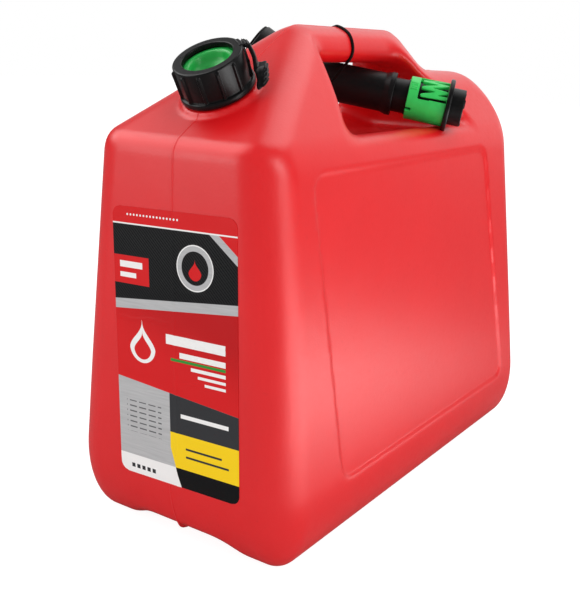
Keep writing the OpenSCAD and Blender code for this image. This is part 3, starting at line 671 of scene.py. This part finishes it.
# colours and places of the print, in millimetres from the label's middle
labelPrint = {
    "red": (0.60, 0.010, 0.012), "deepRed": (0.42, 0.006, 0.008), "black": (0.004, 0.004, 0.0045),
    "pinstripe": (0.016, 0.016, 0.018), "silver": (0.34, 0.34, 0.345), "paleSilver": (0.50, 0.50, 0.505),
    "yellow": (0.86, 0.58, 0.008), "slate": (0.032, 0.033, 0.036), "white": (0.80, 0.79, 0.78),
    "green": (0.03, 0.26, 0.04),
    "sweep": (-14, 34), "sweepLean": 0.35, "sweepShare": 0.8,
    "pinStep": 2.6, "pinLine": (0.7, 1.5), "pinSoft": 0.25,
    # the bar under the head and the foot's upper edge climb and fall to the right
    "climb": 0.09, "headAt": 30, "headBar": 7, "footAt": -30,
    "cornerLean": 1.25, "cornerAt": 147, "cornerBar": 8,
    "divideAt": -6, "divideLean": 0.32, "divideBend": -70,
    "rowStep": 4, "rowLine": (1.2, 2.2), "dashStep": 9, "dashLine": (0.8, 7.6), "dashSoft": 0.15,
    "dashShare": 0.8,
    # boxes are left, right, low and high
    "tab": (-60, -22, 44, 64), "tabBars": ((-49, -28, 55.5, 60), (-49, -34, 48.5, 52)),
    "badge": (19, 62), "badgeRing": (11.5, 15, 15.8), "badgeDrop": (19, 59, 5.5),
    "strip": 86.5, "stripLine": (86, 87), "dotsAt": 93, "dotStep": 3, "dotArea": 0.6, "dotsAlong": (-42, 6),
    "drop": (-30, 0, 12), "dropInside": (-30, -1.5, 8),
    "bars": ((-8, 44, 6, 13), (4, 44, -2.5, 1.5), (14, 44, -10, -7.5), (20, 44, -14.5, -12.5),
             (26, 44, -19, -17)),
    "greenBar": (-4, 44, -5.5, -3.5),
    "yellowTop": -58, "footTop": -84, "dashes": (-47, -14, -66, -42), "paleBar": (4, 46, -46, -43),
    "darkBars": ((8, 40, -69, -67.4), (8, 46, -75, -73.4)),
    "tiles": (-45, -20, -95, -90), "tileStep": 5, "tileHalf": 1.6,
    "soft": 0.12,
}


def labelFinish():
    p = labelPrint
    b = Board("printedVinyl")
    x, y = b.along(0), b.along(1)
    soft = p["soft"]

    def boxed(x0, x1, y0, y1):
        return x.within(x0, x1, soft) * y.within(y0, y1, soft)

    def above(line):
        return line.rise(-soft, soft)

    def drop(x0, y0, size):
        # a round foot with a pointed top
        dx, dy = x - x0, y - y0
        narrow = dx / (1 - dy.rise(-0.2 * size, 1.5 * size) * 0.97)
        return 1 - above((narrow * narrow + (dy * dy) * (1 - 0.62 * dy.rise(0, 0.01))).root() - size)

    def paint(ink, mask):
        nonlocal colour
        colour = b.mix(colour, inks[ink], mask)

    stripe = ((x + y) % p["pinStep"]).within(*p["pinLine"], p["pinSoft"])
    inks = dict(p, brushed=b.mix(p["silver"], p["paleSilver"], b.noise(0.0012, 3, (0.06, 1, 1))),
                striped=b.mix(p["black"], p["pinstripe"], stripe))
    # red field that darkens upwards
    colour = p["red"]
    paint("deepRed", (y + p["sweepLean"] * x).rise(*p["sweep"]) * p["sweepShare"])
    # black head with pinstripes, above a bar that climbs to the right
    edge = y - p["headAt"] - p["climb"] * x
    head = above(edge - p["headBar"])
    paint("brushed", above(edge))
    paint("striped", head)
    # silver and red corner at the upper right
    corner = x + p["cornerLean"] * y - p["cornerAt"]
    paint("brushed", above(corner + p["cornerBar"]) * head)
    paint("red", above(corner) * head)
    # red tab with two pale bars at the left edge
    paint("red", boxed(*p["tab"]))
    paint("white", boxed(*p["tabBars"][0]) + boxed(*p["tabBars"][1]))
    # round badge with a drop
    dx, dy = x - p["badge"][0], y - p["badge"][1]
    badge = (dx * dx + dy * dy).root()
    inner, outer, rim = p["badgeRing"]
    paint("brushed", badge.within(inner, outer, soft))
    paint("white", badge.within(outer, rim, soft))
    paint("red", drop(*p["badgeDrop"]))
    # top strip with a dotted row
    paint("red", above(y - p["strip"]))
    paint("white", y.within(*p["stripLine"], soft))
    dx, dy = (x % p["dotStep"]) - p["dotStep"] / 2, y - p["dotsAt"]
    dots = 1 - above(dx * dx + dy * dy - p["dotArea"])
    paint("white", dots * x.within(*p["dotsAlong"], soft))
    # big pale drop and bars on the red field
    paint("white", drop(*p["drop"]))
    paint("red", drop(*p["dropInside"]))
    for bar in p["bars"]:
        paint("white", boxed(*bar))
    paint("green", boxed(*p["greenBar"]))
    # lower blocks: silver and white at the left, slate, yellow and black at the right
    foot = 1 - above(y - p["footAt"] + p["climb"] * x)
    right = above(x - p["divideAt"] + p["divideLean"] * (y - p["divideBend"]).least(0))
    lowest = 1 - above(y - p["footTop"])
    paint("brushed", foot)
    paint("slate", foot * right)
    paint("yellow", right * (1 - above(y - p["yellowTop"])))
    paint("black", right * lowest)
    paint("white", (1 - right) * lowest)
    # rows of dashes on the silver, a pale bar on the slate, dark bars on the yellow, tiles on the white
    row = (y % p["rowStep"]).within(*p["rowLine"], p["dashSoft"])
    row = row * (x % p["dashStep"]).within(*p["dashLine"], p["dashSoft"])
    paint("slate", row * boxed(*p["dashes"]) * p["dashShare"])
    paint("white", boxed(*p["paleBar"]))
    paint("slate", boxed(*p["darkBars"][0]) + boxed(*p["darkBars"][1]))
    dx, dy = ((way % p["tileStep"]) - p["tileStep"] / 2 for way in (x, y))
    paint("slate", (1 - above(abs(dx).most(abs(dy)) - p["tileHalf"])) * boxed(*p["tiles"]))
    smear = b.noise(0.02, 3)
    normal = b.bump(b.noise(0.012, 2), 0.0004, 0.4)
    return b.finish(Base_Color=colour, Roughness=0.16 + 0.12 * smear, Normal=normal, Specular_IOR_Level=0.22)


pieceFrom("label", makeLabel(), labelFinish(), "tank", ("front_label",), labelFrame, 50)
print("label done")


# no rib grows beside the lever
collarForm = {
    "leverTurn": 22,
    "inner": 22, "outer": 24.6, "hole": 18, "low": 4, "under": 26.5, "top": 30,
    "flangeOut": 2.4, "flangeHigh": 4.2, "edge": 1.1,
    "ribs": 12, "ribFrom": 19, "ribHalf": 1.5, "ribHigh": 1.7, "ribSoft": 0.55,
    "ribFoot": (6, 7.5), "ribTop": (27.1, 28.6), "wallNear": 0.3,
    "teeth": 80, "toothDeep": 0.35, "toothFoot": (27, 27.6), "toothTop": (28.4, 29), "holeNear": 0.6,
    "step": 0.6, "turns": 640,
}


def collarRelief(r, h, a):
    c = collarForm
    step = fullTurn / c["ribs"]
    turn = (a - math.radians(c["leverTurn"])) % fullTurn
    off = np.abs((a - math.radians(c["ribFrom"]) + step / 2) % step - step / 2) * c["outer"] / c["ribHalf"]
    bare = (turn < step) | (turn > fullTurn - step)
    rib = eased(1 - off, 0, c["ribSoft"]) * ~bare
    wall = (np.abs(r - c["outer"]) < c["wallNear"]) * (1 - eased(h, *c["ribTop"])) * eased(h, *c["ribFoot"])
    tooth = (a * c["teeth"] / fullTurn) % 1 < 0.5
    grip = (r < c["hole"] + c["holeNear"]) * eased(h, *c["toothFoot"]) * (1 - eased(h, *c["toothTop"]))
    return r + c["ribHigh"] * rib * wall - c["toothDeep"] * tooth * grip


def makeCollar():
    c = collarForm
    flange, shoulder = c["outer"] + c["flangeOut"], c["low"] + c["flangeHigh"]
    path = roundedPath([(c["inner"], c["low"], 0.4), (flange, c["low"], 1.6),
                        (flange - 0.5, shoulder, 1.4), (c["outer"], shoulder + 0.4, 0.8),
                        (c["outer"], c["top"], c["edge"]), (c["hole"], c["top"], 0.7),
                        (c["hole"], c["under"], 0.3), (c["inner"], c["under"], 0.3)])
    return spun(densePath(path, c["step"]), c["turns"], collarRelief)


pieceFrom("collar", makeCollar(), blackPlastic, "collar_ring", ("collar",), neckFrame, 50)

stopperForm = {"outer": 17.7, "seat": 20.4, "plug": 16.7, "lip": 26, "rim": 25, "under": 24.3,
               "bowlTop": 14.2, "bowlMid": (12.4, 20.5), "bowlLow": (7, 16.8), "bowlFloor": 16.4,
               "bottom": 15.4, "middle": 0.01, "steps": 8, "turns": 128}


def makeStopper():
    s = stopperForm
    path = roundedPath([(s["middle"], s["bottom"], 0), (s["plug"], s["bottom"], 3),
                        (s["plug"], s["under"], 0), (s["seat"], s["under"], 0),
                        (s["seat"], s["rim"], 0.3), (s["outer"], s["rim"], 0.3),
                        (s["outer"], s["lip"], 0.4), (s["bowlTop"], s["lip"], 2.2), (*s["bowlMid"], 5),
                        (*s["bowlLow"], 6), (s["middle"], s["bowlFloor"], 0)], s["steps"])
    return spun(path, s["turns"])


pieceFrom("stopper", makeStopper(), greenStopperPaintedShade, "closure", ("stopper_disc",), neckFrame, 45)
print("collar and stopper done")


# radius from the neck's axis and height above the slope along the lever's arm, and where it turns
leverForm = {
    "arm": ((26.6, 28.4), (28.6, 27.2), (29.9, 21.5), (30.1, 15.5), (32, 13)),
    "armThick": 2.6, "armWide": 9.4, "armSoft": 1.6,
    "heights": (6, 12, 16, 22, 28.5), "turns": (10, 19, 27, 38, 51),
    "pad": (34.75, 11.4), "padHalf": (3.4, 4.8, 4.8), "padRound": 1.9, "padSoft": 2,
    "grooveStep": 2.3, "grooveDeep": 1.0, "grooveLean": 0.35, "grooveEdge": (0.2, 0.9),
    "grooveFrom": (36, 37),
    "ridgeStep": 1.5, "ridgeDeep": 0.5, "ridgeAt": 25, "ridgeEnd": (29, 30), "ridgeAbove": (24, 26),
    # radius, turn and height
    "tip": ((34.2, 14, 9), (33.4, 3, 6.4)), "tipRadius": (2.2, 1.1), "tipSoft": 2.5,
    "guard": ((24.5, 43, 27), (24.9, 35, 18.5), (25.2, 27, 10), (24, 29, 11)),
    "guardRadius": (1.3, 1.2, 1.1), "guardSoft": 1,
    "root": (23.6, 52, 29), "rootHalf": (1.4, 5.4, 1.5), "rootRound": 0.5,
    # corners of the space that each is built in
    "leverSpace": ((8, -2, 3), (42, 30, 31)), "guardSpace": ((8, 2, 6), (30, 26, 32)), "grid": 0.5,
}


def onNeck(reach, turn, high):
    return reach * cos(turn), reach * sin(turn), high


def leverField(x, y, z):
    f = leverForm
    r, turn = polar(x, y, z)
    aside = np.radians(turn - np.interp(z + 0 * r, f["heights"], f["turns"])) * r
    flat = np.full(r.shape, 1e3)
    for start, end in zip(f["arm"], f["arm"][1:]):
        flat = np.minimum(flat, rod((r, z), start, end, f["armThick"] / 2, f["armThick"] / 2))
    ridge = f["ridgeDeep"] * np.cos(fullTurn * (r - f["ridgeAt"]) / f["ridgeStep"])
    ridge = ridge * (1 - eased(r, *f["ridgeEnd"])) * eased(z, *f["ridgeAbove"])
    arm = softMax(flat - np.maximum(ridge, 0), np.abs(aside) - f["armWide"] / 2, f["armSoft"])
    groove = np.cos(fullTurn * (z - f["grooveLean"] * r) / f["grooveStep"])
    groove = f["grooveDeep"] * eased(groove, *f["grooveEdge"])
    pad = roundBox((r - f["pad"][0], z - f["pad"][1], aside), f["padHalf"], f["padRound"])
    pad = pad + groove * eased(r, *f["grooveFrom"])
    tip = rod((x, y, z), onNeck(*f["tip"][0]), onNeck(*f["tip"][1]), *f["tipRadius"])
    return softMin(softMin(arm, pad, f["padSoft"]), tip, f["tipSoft"])


def guardField(x, y, z):
    # the bar beside the collar and the block that the lever hangs from
    f = leverForm
    p = (x, y, z)
    top, middle, foot, wall = (onNeck(*g) for g in f["guard"])
    wide, mid, thin = f["guardRadius"]
    bar = softMin(rod(p, top, middle, wide, mid), rod(p, middle, foot, mid, thin), f["guardSoft"])
    r, turn = polar(x, y, z)
    aside = np.radians(turn - f["root"][1]) * r
    root = roundBox((r - f["root"][0], aside, z - f["root"][2]), f["rootHalf"], f["rootRound"])
    foothold = rod(p, wall, foot, mid, thin)
    return softMin(softMin(bar, root, f["guardSoft"]), foothold, f["guardSoft"])


lever = shellOf(leverField, *leverForm["leverSpace"], leverForm["grid"])
pieceFrom("lever", lever, blackPlastic, "lever", ("lock_lever",), neckFrame)
guard = shellOf(guardField, *leverForm["guardSpace"], leverForm["grid"])
pieceFrom("leverGuard", guard, blackPlastic, "collar_ring", (), neckFrame)
print("lever done")


spoutRun = {"radius": 16, "bore": 14.1, "bendAt": -61.5, "bend": 24, "bendRadius": 40, "base": 30,
            "cup": 22.5, "cupBore": 19.5, "cupLong": 12, "cone": 11, "lip": 17.6, "lipEnd": 34.5,
            "lipLong": 4, "flareLong": 4.5, "step": 1.5, "turns": 96}


def spoutCentre(along):
    # place and direction at a length from the open end of the base
    s = spoutRun
    bend = math.radians(s["bend"])
    straight = s["base"] - s["bendRadius"] * tan(s["bend"] / 2)
    angle = bend - np.clip((along - straight) / s["bendRadius"], 0, bend)
    before = np.minimum(along, straight) - s["base"]
    after = np.maximum(along - straight - s["bendRadius"] * bend, 0)
    x = before * sin(s["bend"]) + s["bendRadius"] * (np.cos(angle) - cos(s["bend"]))
    z = s["bendAt"] + before * cos(s["bend"]) + s["bendRadius"] * (sin(s["bend"]) - np.sin(angle)) + after
    return x, z, np.sin(angle), np.cos(angle)


def spoutLength(station):
    # length from the open end of the base to a station along the straight tube
    s = spoutRun
    taken = s["bendRadius"] * tan(s["bend"] / 2)
    return s["base"] - 2 * taken + s["bendRadius"] * math.radians(s["bend"]) + station - s["bendAt"]


def makeSpout():
    s = spoutRun
    end = spoutLength(s["lipEnd"])
    lip = end - s["lipLong"]
    path = roundedPath([(0, s["cupBore"], 0.5), (0, s["cup"], 1.2), (s["cupLong"], s["cup"], 2.5),
                        (s["cupLong"] + s["cone"], s["radius"], 6), (lip - s["flareLong"], s["radius"], 2),
                        (lip, s["lip"], 1.2), (end, s["lip"], 0.6), (end, s["bore"], 0.4),
                        (s["cupLong"] + s["cone"], s["bore"], 4), (s["cupLong"], s["cupBore"], 2)])
    path = densePath(path, s["step"])
    x, z, dx, dz = spoutCentre(path[:, 0])
    a = anglesAround(s["turns"])
    r = path[:, 1:]
    points = np.stack([x[:, None] + r * np.cos(a) * dz[:, None], r * np.sin(a) + 0 * x[:, None],
                       z[:, None] - r * np.cos(a) * dx[:, None]], -1).reshape(-1, 3)
    return points, gridFaces(len(path), s["turns"])


pieceFrom("spout", makeSpout(), satinBlack, "spout", ("spout_body",), spoutFrame, 40)

flangeForm = {"inner": 13.85, "outer": 21.5, "low": 78.8, "high": 82.3, "edge": 1.3, "turns": 128}


def makeFlange():
    f = flangeForm
    # with a low bead near the outer edge
    path = roundedPath([(f["inner"], f["low"], 0.2), (f["outer"] - 1.6, f["low"], 0.4),
                        (f["outer"] - 0.9, f["low"] - 0.25, 0.3), (f["outer"], f["low"] + 0.2, 0.5),
                        (f["outer"], f["high"], f["edge"]), (f["inner"], f["high"], 0.2)])
    return spun(path, f["turns"])


pieceFrom("catchFlange", makeFlange(), blackPlastic, "nozzle", ("catch_flange",), spoutFrame, 50)

tipForm = {"outer": 15, "seatBore": 8.2, "bore": 11.2, "low": 82.3, "seat": 85.3, "end": 92.8,
           "lugs": 3, "lugHalf": 0.24, "lugAt": 4.4, "lugHigh": 0.7, "lugRing": 13.1, "lugReach": 1.3,
           "endNear": 0.05, "step": 0.8, "turns": 240}


def makeTip():
    t = tipForm
    path = roundedPath([(t["seatBore"], t["low"], 0), (t["outer"], t["low"], 0), (t["outer"], t["end"], 0.7),
                        (t["bore"], t["end"], 0.5), (t["bore"], t["seat"], 0.2),
                        (t["seatBore"], t["seat"], 0.2)])
    points, faces = spun(densePath(path, t["step"]), t["turns"])
    # lugs that stand up from the end
    reach = np.hypot(points[:, 0], points[:, 1])
    around = (np.arctan2(points[:, 1], points[:, 0]) - t["lugAt"]) % (fullTurn / t["lugs"])
    near = np.minimum(around, fullTurn / t["lugs"] - around)
    on = (near < t["lugHalf"]) * (points[:, 2] > t["end"] - t["endNear"])
    points[:, 2] += t["lugHigh"] * on * (np.abs(reach - t["lugRing"]) < t["lugReach"])
    return points, faces


pieceFrom("tip", makeTip(), satinBlack, "nozzle", ("nozzle_tip",), spoutFrame, 40)
print("spout, flange and tip done")


# the ring is described by its turn from the window's upper edge and its station along the spout
lockForm = {
    "inner": 14.1, "outer": 17.5, "flare": 0.4, "low": 46.5, "high": 78.5, "edge": 0.5,
    "zeroTurn": 176.9,
    # first and last turn, first and last station
    "window": (1, 86.5, 54.7, 78.1), "slit": (0, 86.3, 54.6, 56), "foot": (84.8, 88.4, 55, 64.4),
    "cutRound": 0.3, "cutSoft": 0.4,
    "zigzag": ((5, 76.5), (27, 57.8), (31, 76.5), (53, 57.8), (57.5, 76.5), (76.5, 57.8), (74, 77)),
    "legHalf": 1.5, "legTop": 17.5, "legLow": 14.6, "legEdge": 0.5, "legSoft": 0.3,
    "ribs": (45, 5, 4.6),  # first turn, count and step
    "ribAlong": (47.8, 53.3), "ribHalf": 0.55, "ribHigh": 0.7, "ribRound": 0.2, "ribSoft": 0.4,
    "notch": (122, 46, 51.2), "notchHalf": 1.4, "notchRound": 0.5, "grid": 0.45,
}


def lockField(x, y, z):
    f = lockForm
    r, turn = polar(x, y, z)
    u = np.radians((turn - f["zeroTurn"] + 90) % 360 - 90) * f["outer"]
    outer = f["outer"] + f["flare"] * eased(z, f["low"], f["high"])
    middle, half = (outer + f["inner"]) / 2, (outer - f["inner"]) / 2
    ring = roundBox((r - middle, z - (f["low"] + f["high"]) / 2),
                    (half, (f["high"] - f["low"]) / 2), f["edge"])

    def around(turn):
        return math.radians(turn) * f["outer"]

    def patch(area):
        u0, u1, s0, s1 = around(area[0]), around(area[1]), *area[2:]
        return roundBox((u - (u0 + u1) / 2, z - (s0 + s1) / 2),
                        ((u1 - u0) / 2, (s1 - s0) / 2), f["cutRound"])

    form = softMax(ring, -patch(f["window"]), f["cutSoft"])
    legs = np.full(r.shape, 1e3)
    for (t0, s0), (t1, s1) in zip(f["zigzag"], f["zigzag"][1:]):
        leg = rod((u, z), (around(t0), s0), (around(t1), s1), f["legHalf"], f["legHalf"])
        legs = np.minimum(legs, leg)
    legs = softMax(legs, np.maximum(r - f["legTop"], f["legLow"] - r), f["legEdge"])
    form = softMin(form, legs, f["legSoft"])
    first, count, step = f["ribs"]
    r0, r1 = f["ribAlong"]
    for i in range(count):
        rib = roundBox((u - around(first + step * i), z - (r0 + r1) / 2, r - outer),
                       (f["ribHalf"], (r1 - r0) / 2, f["ribHigh"]), f["ribRound"])
        form = softMin(form, rib, f["ribSoft"])
    at, s0, s1 = f["notch"]
    notch = roundBox((u - around(at), z - (s0 + s1) / 2),
                     (f["notchHalf"], (s1 - s0) / 2), f["notchRound"])
    form = np.maximum(form, -notch)
    return np.maximum(np.maximum(form, -patch(f["slit"])), -patch(f["foot"]))


def makeLock():
    f = lockForm
    reach = f["outer"] + 1
    return shellOf(lockField, (-reach, -reach, f["low"]), (reach, reach, f["high"]), f["grid"])


pieceFrom("lockRing", makeLock(), greenRingPaintedLight, "lock", ("lock_ring",), spoutFrame, 50)
print("lock ring done")


bandLoop = {"wire": 1.05, "oval": 1.25, "sunk": 0.1, "handleAt": (20, -20.7), "handleMiddle": 361,
            "handleReach": 45, "handleStep": 0.1, "tubeAt": -40, "room": 3.8, "points": 90, "step": 2,
            "smoothing": 10, "turns": 16}


def hullOf(points):
    # outline around scattered points, counter-clockwise
    order = sorted(map(tuple, points))
    sides = []
    for run in (order, order[::-1]):
        side = []
        for p in run:
            while len(side) > 1 and np.cross(np.subtract(side[-1], side[-2]), np.subtract(p, side[-1])) <= 0:
                side.pop()
            side.append(p)
        sides += side[:-1]
    return np.array(sides)


def makeBand():
    b = bandLoop
    way = np.array(spoutFrame.to_3x3())[:, 2]
    tube = np.array(spoutFrame.translation) / mm + b["tubeAt"] * way
    start = np.array(b["handleAt"])
    run = tube[:2] - start
    length = np.linalg.norm(run)
    run = run / length
    slant = 1 / abs(np.cross(run, way[:2] / np.linalg.norm(way[:2])))
    a = anglesAround(b["points"])
    # the handle's own outline, in the loop's plane
    middle = -start[0] / run[0]
    away = np.arange(0, b["handleReach"], b["handleStep"])[None, :]
    u, z = middle + np.cos(a)[:, None] * away, b["handleMiddle"] + np.sin(a)[:, None] * away
    inside = tankField(start[0] + u * run[0], start[1] + u * run[1], z) < 0
    edge = np.argmin(inside, 1)
    handle = np.column_stack([u[np.arange(len(a)), edge], z[np.arange(len(a)), edge]])
    r = spoutRun["radius"] + b["room"]
    tubeRim = np.column_stack([length + r * slant * np.cos(a), tube[2] + r * np.sin(a)])
    loose = np.concatenate([handle, tubeRim])
    grow = b["wire"] - b["sunk"]
    loose = (loose[:, None, :] + grow * np.stack([np.cos(a), np.sin(a)], 1)[None]).reshape(-1, 2)
    hull = densePath(hullOf(loose), b["step"])
    for _ in range(b["smoothing"]):
        hull = (np.roll(hull, 1, 0) + 2 * hull + np.roll(hull, -1, 0)) / 4
    step = np.roll(hull, -1, 0) - np.roll(hull, 1, 0)
    step = step / np.linalg.norm(step, axis=1)[:, None]
    out = np.stack([step[:, 1], -step[:, 0]], 1)
    c = anglesAround(b["turns"])
    flat = hull[:, None, :] + out[:, None, :] * (b["wire"] * np.cos(c))[None, :, None]
    side = (b["oval"] * np.sin(c))[None, :] + 0 * flat[..., 0]
    x = start[0] + flat[..., 0] * run[0] - side * run[1]
    y = start[1] + flat[..., 0] * run[1] + side * run[0]
    return np.stack([x, y, flat[..., 1]], -1).reshape(-1, 3), gridFaces(len(hull), b["turns"])


pieceFrom("band", makeBand(), blackRubber, "tank", ("retaining_band",))
print("band done")


view = {
    "place": (0.4037, -0.6704, 0.3587),
    "azimuth": 33.71, "down": 15.15, "roll": 2.27,
    "lens": 56.73, "sensor": 36,
}


def aimCamera():
    turn, down, roll = view["azimuth"], view["down"], view["roll"]
    across = Vector((cos(turn), sin(turn), 0))
    ahead = Vector((-sin(turn), cos(turn), 0))
    forward = ahead * cos(down) - Vector((0, 0, 1)) * sin(down)
    up = ahead * sin(down) + Vector((0, 0, 1)) * cos(down)
    x = across * cos(roll) + up * sin(roll)
    y = up * cos(roll) - across * sin(roll)
    camera = bpy.data.objects.new("camera", bpy.data.cameras.new("camera"))
    camera.data.lens = view["lens"]
    camera.data.sensor_width = view["sensor"]
    camera.matrix_world = Matrix.Translation(view["place"]) @ Matrix((x, y, -forward)).transposed().to_4x4()
    bpy.context.scene.collection.objects.link(camera)
    bpy.context.scene.camera = camera


lamps = {
    "top": {"place": (0.2, 0.5, 1.35), "size": 0.9, "watts": 4.5},
    "side": {"place": (1.2, -0.15, 0.6), "size": 0.6, "watts": 5.4},
    "front": {"place": (-0.8, -1.3, 0.45), "size": 0.6, "watts": 4.5},
}
# light that the object gets from all around, and what it mirrors: a dim room, the white background
# behind it and a white screen at the upper left
studio = {"lampsAim": (0, 0, 0.18), "fill": 0.8, "dim": 0.08,
          "backWay": (-0.15, 0.95, 0.28), "backEdge": (0.6, 0.9), "back": 0.95,
          "screenWay": (-0.65, -0.32, 0.69), "screenEdge": (0.8, 0.95), "screen": 4.2}


class Sky(Board):
    # the world, wired like a material
    def __init__(self, name):
        world = bpy.data.worlds.new(name)
        world.use_nodes = True
        bpy.context.scene.world = world
        self.tree = world.node_tree


def lightStage():
    for name, lamp in lamps.items():
        data = bpy.data.lights.new(name, "AREA")
        data.size = lamp["size"]
        data.energy = lamp["watts"]
        light = bpy.data.objects.new(name, data)
        light.location = lamp["place"]
        aim = Vector(studio["lampsAim"]) - Vector(lamp["place"])
        light.rotation_euler = aim.to_track_quat("-Z", "Y").to_euler()
        bpy.context.scene.collection.objects.link(light)
    sky = Sky("studio")
    seen = sky.add("LightPath", out=0).most(sky.add("LightPath", out=6))
    glossy = sky.add("LightPath", out=3)

    def shining(name):
        way = {0: sky.add("TexCoord"), 1: studio[name + "Way"]}
        near = sky.add("VectorMath", {"operation": "DOT_PRODUCT"}, way, out=1)
        return near.rise(*studio[name + "Edge"]) * studio[name]

    mirrored = shining("back") + shining("screen") + studio["dim"]
    unseen = glossy * mirrored + (1 - glossy) * studio["fill"]
    ground = sky.tree.nodes["Background"]
    sky.feed(ground.inputs["Strength"], seen + (1 - seen) * unseen)
    ground.inputs["Color"].default_value = (1, 1, 1, 1)


floorForm = {"half": 6, "colour": (0.9, 0.9, 0.9), "dim": (0.3, 0.3, 0.3), "glow": 1.5, "share": 0.6,
             "shine": 7, "shineX": (0.35, 2), "shineY": (-0.3, 0.45), "shineSoft": 0.2}


def layFloor():
    # lit like a pale floor, seen nearly as white as the background, with the shadow kept
    f = floorForm
    b = Board("paleFloor")
    # in reflections the floor's colour is darker, painted shade in what the object mirrors
    glossy = b.add("LightPath", out=3)
    diffuse = b.add("BsdfDiffuse", {}, {"Color": b.mix(f["colour"], f["dim"], glossy)})
    glow = b.add("Emission", {}, {"Color": (1, 1, 1), "Strength": f["glow"]})
    seen = b.add("LightPath", out=0).most(b.add("LightPath", out=6))
    mixed = b.add("MixShader", {}, {0: seen * f["share"], 1: diffuse, 2: glow})
    # the strip of floor at the right that the corner mirrors; it glows in reflections only, painted light for
    # the highlight on the corner
    x, y = (b.add("SeparateXYZ", {}, {0: b.place()}, out=i) for i in (0, 1))
    strip = x.within(*f["shineX"], f["shineSoft"]) * y.within(*f["shineY"], f["shineSoft"])
    bright = b.add("Emission", {}, {"Color": (1, 1, 1), "Strength": f["shine"]})
    mixed = b.add("MixShader", {}, {0: strip * glossy, 1: mixed, 2: bright})
    b.tree.links.new(mixed.socket, b.out.inputs["Surface"])
    half = f["half"]
    mesh = bpy.data.meshes.new("floor")
    corners = [(-half, -half, 0), (half, -half, 0), (half, half, 0), (-half, half, 0)]
    mesh.from_pydata(corners, [], [(0, 1, 2, 3)])
    mesh.materials.append(b.material)
    piece = bpy.data.objects.new("floor", mesh)
    bpy.context.scene.collection.objects.link(piece)


aimCamera()
lightStage()
layFloor()
bpy.context.scene.view_settings.view_transform = "Standard"
print("stage set")
